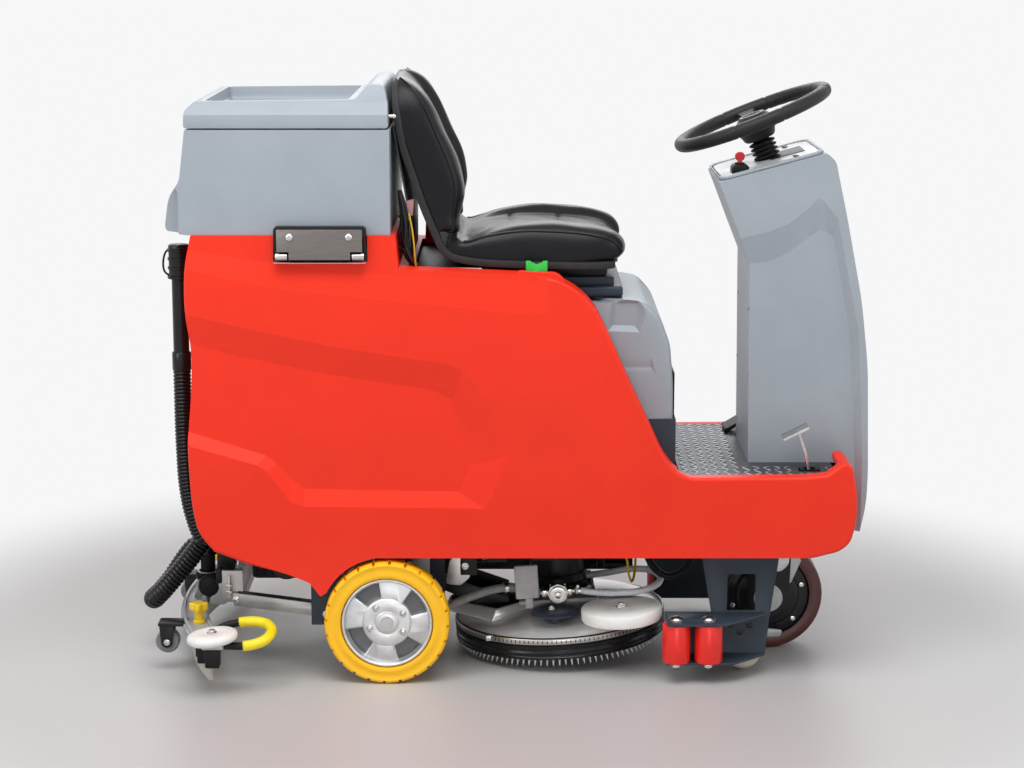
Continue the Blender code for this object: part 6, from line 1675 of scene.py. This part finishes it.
def squeegee():
    arm = softened(node_copy("squeegee_arm"), 0.002, 2, 30)
    done(arm, "squeegee_arm_bars", "arm", ARM_STEEL, "squeegee_arm")
    caps = [outline_mesh([(-0.322, 0.1592), (-0.322, 0.1606), (-0.122, 0.1342), (-0.122, 0.1328)],
                         *span(s, 0.1435, 0.1625)) for s in (-1, 1)]
    done(joined(*caps), "arm_top_strips", "arm", BLACK_STEEL)
    adjusters, blocks = [], []
    for side in (-1, 1):
        x, y = -0.34, side * 0.152 + side * 0.006
        adjusters += [post(x, y, 0.15, 0.196, 0.003, 16),
                      post(x, y, 0.172, 0.178, 0.0068, 6, 0.0006),
                      post(x, y, 0.158, 0.164, 0.0068, 6, 0.0006)]
        adjusters += [hex_bolt(at(-0.326, side * 0.1638, 0.146), (0, side, 0), 0.0058, 0.0045),
                      hex_bolt(at(-0.135, side * 0.1638, 0.119), (0, side, 0), 0.007, 0.005)]
        y0, y1 = span(side, 0.128, 0.15)
        blocks.append(block(at(-0.369, y0, 0.176), at(-0.357, y1, 0.21), 0.003))
    done(joined(*adjusters), "arm_adjusters", "arm", PLATED, angle=30)
    done(joined(*blocks), "arm_stop_blocks", "arm", RUBBER)

    plate = arc_band(-0.032, 0.028, 0.098, 0.106, 0.343)
    softened(plate, 0.0025, 3, 50)
    ribs = [arc_band(0.018, 0.024, 0.1045, 0.114, 0.33),
            arc_band(-0.028, -0.022, 0.1045, 0.112, 0.33)]
    for rib in ribs:
        softened(rib, 0.0018, 2, 50)
    cheeks, forks = [], []
    port = turned([(0.02, 0.1), (0.034, 0.1), (0.03, 0.112), (0.0265, 0.124), (0.025, 0.14),
                   (0.025, 0.163), (0.024, 0.165), (0.02, 0.165)], at(-0.405, 0, 0), UP, 56)
    for side, word in SIDES:
        y0, y1 = span(side, 0.045, 0.055)
        cheek = [(-0.4, 0.102), (-0.38, 0.15), (-0.357, 0.158), (-0.335, 0.158), (-0.335, 0.135),
                 (-0.362, 0.102)]
        piece = outline_mesh(rounded_corners(cheek, 0.006, 3), y0, y1)
        carve(piece, bar(at(-0.345, y0 - 0.01, 0.145), at(-0.345, y1 + 0.01, 0.145), 0.0066, 24))
        cheeks.append(softened(piece, 0.0012, 2))
        end = [(-0.374, 0.099), (-0.374, 0.107), (-0.362, 0.11), (-0.33, 0.109), (-0.328, 0.099)]
        cheeks.append(softened(outline_mesh(rounded_corners(end, 0.004, 2),
                                            *span(side, 0.33, 0.372)), 0.0035, 3))
        lean = Vector((-math.sin(math.radians(6)), 0, math.cos(math.radians(6))))
        root = at(-0.35, side * 0.36, 0.104)
        roller = turned([(0.0066, 0.0088), (0.034, 0.0088), (0.046, 0.0108), (0.051, 0.0145),
                         (0.052, 0.0185), (0.052, 0.0215), (0.0508, 0.0255), (0.046, 0.0288),
                         (0.034, 0.0308), (0.02, 0.03), (0.018, 0.0288), (0.0066, 0.0288)], root,
                        lean, 64)
        done(roller, "end_roller_disc_" + word, "end_roll_" + word, NYLON,
             "end_roller_" + word, 40)
        stem = joined(bar(root, root + lean * 0.036, 0.006, 24, 0.0008),
                      bar(root + lean * 0.001, root + lean * 0.0085, 0.016, 32, 0.001),
                      hex_bolt(root + lean * 0.0292, lean, 0.0085, 0.006))
        done(stem, "end_roller_stud_" + word, "squeegee", PLATED)
        cx, cy, cz = -0.468, side * 0.19, 0.065
        mount = block(at(cx - 0.018, cy - 0.021, 0.1), at(-0.425, cy + 0.021, 0.1075), 0.002)
        sides = [outline_mesh(rounded_corners([(cx - 0.016, 0.104), (cx + 0.016, 0.104),
                                               (cx + 0.012, cz - 0.004), (cx + 0.006, cz - 0.012),
                                               (cx - 0.006, cz - 0.012), (cx - 0.012, cz - 0.004)],
                                              0.006, 3), cy + o - 0.002, cy + o + 0.002)
                 for o in (-0.017, 0.017)]
        fork = joined(mount, *[softened(s, 0.0008, 2) for s in sides])
        forks.append(fork)
        axle = joined(bar(at(cx, cy - 0.018, cz), at(cx, cy + 0.018, cz), 0.0038, 24, 0.0006),
                      hex_bolt(at(cx, cy - 0.019, cz), (0, -1, 0), 0.0055, 0.004),
                      hex_bolt(at(cx, cy + 0.019, cz), ACROSS, 0.0055, 0.004))
        done(axle, "caster_axle_" + word, "squeegee", PLATED)
        y0, y1 = cy - 0.0145, cy + 0.0145
        tyre = turned([(0.0046, y0), (0.0135, y0), (0.015, y0 + 0.0015), (0.022, y0 + 0.0015),
                       (0.025, y0 + 0.005), (0.025, y1 - 0.005), (0.022, y1 - 0.0015),
                       (0.015, y1 - 0.0015), (0.0135, y1), (0.0046, y1)], at(cx, 0, cz), (0, 1, 0),
                      48)
        done(tyre, "caster_tyre_" + word, "caster_" + word, CASTER_GREY,
             "squeegee_caster_" + word)
        loop = [(-0.366, side * 0.262, 0.104), (-0.33, side * 0.262, 0.12),
                (-0.285, side * 0.264, 0.128), (-0.25, side * 0.275, 0.126),
                (-0.236, side * 0.31, 0.12), (-0.25, side * 0.345, 0.111),
                (-0.285, side * 0.356, 0.104), (-0.33, side * 0.352, 0.103)]
        bar_piece = tube(route_at(loop), 0.008, 20, 8)
        done(bar_piece, "guard_bar_" + word, "squeegee", BLACK, angle=60)
        middle_run = smooth_route(route_at(loop), 8)
        sleeve = tube(middle_run[12:50], 0.0108, 24, 1)
        softened(sleeve, 0.0015, 2, 60)
        done(sleeve, "guard_sleeve_" + word, "squeegee", SLEEVE, angle=60)
        kx, ky = -0.4, side * 0.2
        star = []
        for i in range(60):
            turn = 2 * math.pi * i / 60
            reach = 0.0168 + 0.0034 * math.cos(turn * 4)
            star.append((reach * math.cos(turn), reach * math.sin(turn)))
        head = flat_outline(star, 0.133, 0.15)
        head.data.transform(Matrix.Translation(at(kx, ky, 0)))
        softened(head, 0.0028, 3, 50)
        stem = turned([(0.0, 0.1063), (0.0125, 0.1063), (0.0125, 0.111), (0.01, 0.113),
                       (0.01, 0.134), (0.0, 0.134)], at(kx, ky, 0), UP, 40)
        done(joined(head, stem), "clamp_knob_" + word, "knob_" + word, YELLOW_PLASTIC,
             "squeegee_knob_" + word, 40)
    casting = joined(plate, *ribs, port, *cheeks)
    done(casting, "squeegee_casting", "squeegee", CAST_GREY, "squeegee_head")
    done(joined(*forks), "caster_forks", "squeegee", BLACK_STEEL)
    holder = arc_band(-0.014, -0.002, 0.052, 0.1, 0.346)
    softened(holder, 0.0012, 2, 50)
    done(holder, "blade_holder", "squeegee", CAST_GREY)
    clamps = []
    for side in (-1, 1):
        for x, y, w in ((-0.372, 0.318, 0.02), (-0.352, 0.345, 0.03)):
            clamps.append(block(at(x - 0.017, side * y - w / 2, 0.056),
                                at(x + 0.013, side * y + w / 2, 0.096), 0.0035, 3))
            clamps.append(block(at(x - 0.02, side * y - 0.006, 0.07),
                                at(x - 0.015, side * y + 0.006, 0.088), 0.001))
    done(joined(*clamps), "blade_end_clamps", "squeegee", BLACK)
    blade = arc_band(-0.0017, 0.006, 0.028, 0.0977, 0.346)
    softened(blade, 0.0006, 1, 50)
    done(blade, "squeegee_rubber", "squeegee", BLADE, "squeegee_blade")


# ---------------------------------------------------------------- hoses at the back
def hoses():
    route = route_at([(-0.35, -0.075, 0.335), (-0.377, -0.077, 0.292), (-0.41, -0.079, 0.243),
                      (-0.447, -0.08, 0.195), (-0.486, -0.078, 0.149), (-0.511, -0.066, 0.121),
                      (-0.519, -0.04, 0.114), (-0.509, -0.014, 0.12), (-0.488, 0.006, 0.144),
                      (-0.461, 0.014, 0.183), (-0.436, 0.011, 0.214), (-0.416, 0.004, 0.222),
                      (-0.406, 0, 0.213), (-0.405, 0, 0.2)])
    hose = tube(route, 0.0208, 28, 12, ribbed(0.0092, 0.0214, 0.0182))
    hose.name = "suction_hose_ribbed"
    hose.data.name = hose.name
    hose.data.materials.append(HOSE)
    only(hose)
    bpy.ops.object.shade_smooth_by_angle(angle=math.radians(70))
    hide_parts("suction_hose")
    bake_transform(hose)
    spigot = turned([(0.0, 0.151), (0.0148, 0.151), (0.016, 0.153), (0.016, 0.203), (0.0, 0.203)],
                    at(-0.405, 0, 0), UP, 40)
    done(spigot, "suction_hose_spigot", "arm", RUBBER, angle=40)
    cuff = turned([(0.0212, 0.148), (0.026, 0.148), (0.0268, 0.15), (0.0268, 0.161),
                   (0.0262, 0.163), (0.0255, 0.1635), (0.0252, 0.15), (0.0212, 0.15)],
                  at(-0.405, 0, 0), UP, 48)
    boot = turned([(0.0, -0.016), (0.014, -0.015), (0.0225, -0.01), (0.026, 0.0), (0.0225, 0.01),
                   (0.014, 0.015), (0.0, 0.016)], at(-0.396, -0.044, 0.142), ACROSS, 48)
    done(joined(cuff, boot), "port_cuff", "squeegee", RUBBER, angle=40)

    x, y = -0.433, -0.12
    smooth = turned([(0.0, 0.828), (0.0164, 0.828), (0.0166, 0.668), (0.0, 0.668)], at(x, y, 0), UP,
                    40)
    cap = [(0.0, 0.898), (0.017, 0.898), (0.019, 0.8955), (0.019, 0.89), (0.0212, 0.889),
           (0.0212, 0.884), (0.0186, 0.883), (0.0186, 0.872), (0.0205, 0.871), (0.0205, 0.866),
           (0.0186, 0.865), (0.0186, 0.853), (0.0205, 0.852), (0.0205, 0.847), (0.0186, 0.846),
           (0.0186, 0.834), (0.0212, 0.833), (0.0212, 0.8275), (0.017, 0.8255), (0.0, 0.8255)]
    cap_piece = turned([(r * 1.16, h) for r, h in cap], at(x, y, 0), UP, 48)
    coupling = turned([(0.0, 0.672), (0.0182, 0.672), (0.0198, 0.67), (0.0198, 0.6345),
                       (0.0182, 0.632), (0.0, 0.632)], at(x, y, 0), UP, 48)
    route = [at(x, y, 0.64), at(x, y, 0.58), at(x, y, 0.52), at(x + 0.001, y, 0.46),
             at(x + 0.004, y, 0.39), at(x + 0.014, y, 0.325), at(x + 0.034, y, 0.272),
             at(x + 0.062, y, 0.29), at(x + 0.072, y, 0.35)]
    ribs = tube(route, 0.018, 24, 14, ribbed(0.0078, 0.0188, 0.016))
    clip = block(at(x, -0.13, 0.862), at(-0.4026, -0.11, 0.874), 0.002)
    tether = tube([at(x - 0.0165, y - 0.004, 0.893), at(x - 0.028, y - 0.004, 0.88),
                   at(x - 0.0325, y - 0.004, 0.86), at(x - 0.03, y - 0.004, 0.842),
                   at(x - 0.018, y - 0.004, 0.832)], 0.0022, 10, 6)
    done(joined(smooth, cap_piece, coupling, ribs, clip, tether), "drain_hose_ribbed", "chassis",
         HOSE, "drain_hose", 50)


# ---------------------------------------------------------------- between the tank and the seat
def behind_the_seat():
    panel = softened(node_copy("rear_panel"), 0.0012, 2, 30)
    done(panel, "rear_cover_panel", "chassis", CHARCOAL, "rear_panel")
    bundle = []
    for i, (dx, dy) in enumerate(((0, 0), (0.006, 0.005), (0.002, 0.011), (0.009, -0.004),
                                  (0.004, -0.009))):
        wave = 0.004 * math.sin(i * 2.1)
        bundle.append(tube([at(0.03 + dx * 0.3, -0.214 + dy, 1.02),
                            at(0.034 + dx, -0.216 + dy, 0.985),
                            at(0.036 + dx + wave, -0.217 + dy, 0.95),
                            at(0.038 + dx, -0.216 + dy, 0.915),
                            at(0.044 + dx + wave, -0.214 + dy, 0.885),
                            at(0.062 + dx, -0.208 + dy, 0.862), at(0.075 + dx, -0.2 + dy, 0.83)],
                           0.004, 10, 6))
    done(joined(*bundle), "cable_bundle", "chassis", HOSE, angle=60)
    ties = [turned([(0.0115, -0.002), (0.013, -0.002), (0.013, 0.002), (0.0115, 0.002)],
                   at(0.041, -0.215, z), (0.05, 0, 1), 24) for z in (0.968, 0.903)]
    done(joined(*ties), "cable_ties", "chassis", BLACK, angle=40)
    lead = tube([at(0.05, -0.222, 0.975), at(0.056, -0.225, 0.945), at(0.06, -0.226, 0.912),
                 at(0.062, -0.224, 0.88), at(0.066, -0.214, 0.845)], 0.0019, 8)
    done(lead, "tank_yellow_lead", "chassis", WIRE_YELLOW, angle=60)
    tag = softened(outline_mesh([(0.04, 0.966), (0.044, 0.998), (0.06, 1.002), (0.057, 0.968)],
                                -0.2045, -0.202), 0.0008)
    done(tag, "pink_clip_plate", "chassis", PINK)
    pin = joined(bar(at(0.01, -0.232, 1.172), at(0.026, -0.232, 1.171), 0.0035, 20, 0.0006),
                 bar(at(0.02, -0.232, 1.1714), at(0.0235, -0.232, 1.1712), 0.0055, 20, 0.0006))
    done(pin, "lid_stop_pin", "lid", PLATED)
    # the far inner ledge, in the body's red darkened to half: painted shade
    inner = [(0.066, 0.855), (0.068, 0.905), (0.08, 0.915), (0.16, 0.908), (0.185, 0.868)]
    wall = softened(outline_mesh(rounded_corners(inner, 0.012, 3), 0.219, 0.262), 0.004, 3)
    done(wall, "far_side_ledge", "chassis", RED_PAINTED_SHADE)
    shelf = block(at(0.0605, -0.2145, 0.846), at(0.199, 0.2145, 0.852), 0.002)
    done(shelf, "battery_cover", "chassis", BLACK)
    edge = block(at(0.07, -0.215, 0.8525), at(0.198, -0.205, 0.862), 0.0018)
    done(edge, "cover_edge_rail", "chassis", PAINTED_GREY)


tank_hinge()
squeegee()
hoses()
behind_the_seat()


# ---------------------------------------------------------------- the frame's other nodes
def rest_of_the_frame():
    """Every frame node that nothing else stands for gets its finish."""
    looks = {"grey_cover": GREY, "dark_plastic": CHARCOAL, "black_plastic": BLACK,
             "red_plastic": KEY_RED, "green_plastic": GREEN, "yellow_plastic": YELLOW_PLASTIC,
             "dash_white": DASH, "white_nylon": NYLON, "bristle": BRISTLE, "clear_hose": BRAID,
             "dark_steel": SLATE, "black_steel": BLACK_STEEL, "grey_steel": PAINTED_GREY,
             "bare_steel": BRUSHED, "stainless": POLISHED, "tread_plate": TREAD,
             "cast_aluminium": CAST, "rubber": RUBBER, "blade_rubber": BLADE, "yellow_tyre": YELLOW,
             "drive_tyre": BROWN, "seat_vinyl": VINYL, "red_body": RED}
    for node, source in frame["nodes"].items():
        if not source.hide_render:
            look = looks[SLOT_OF[node]]
            source.data.materials.clear()
            source.data.materials.append(look)


rest_of_the_frame()
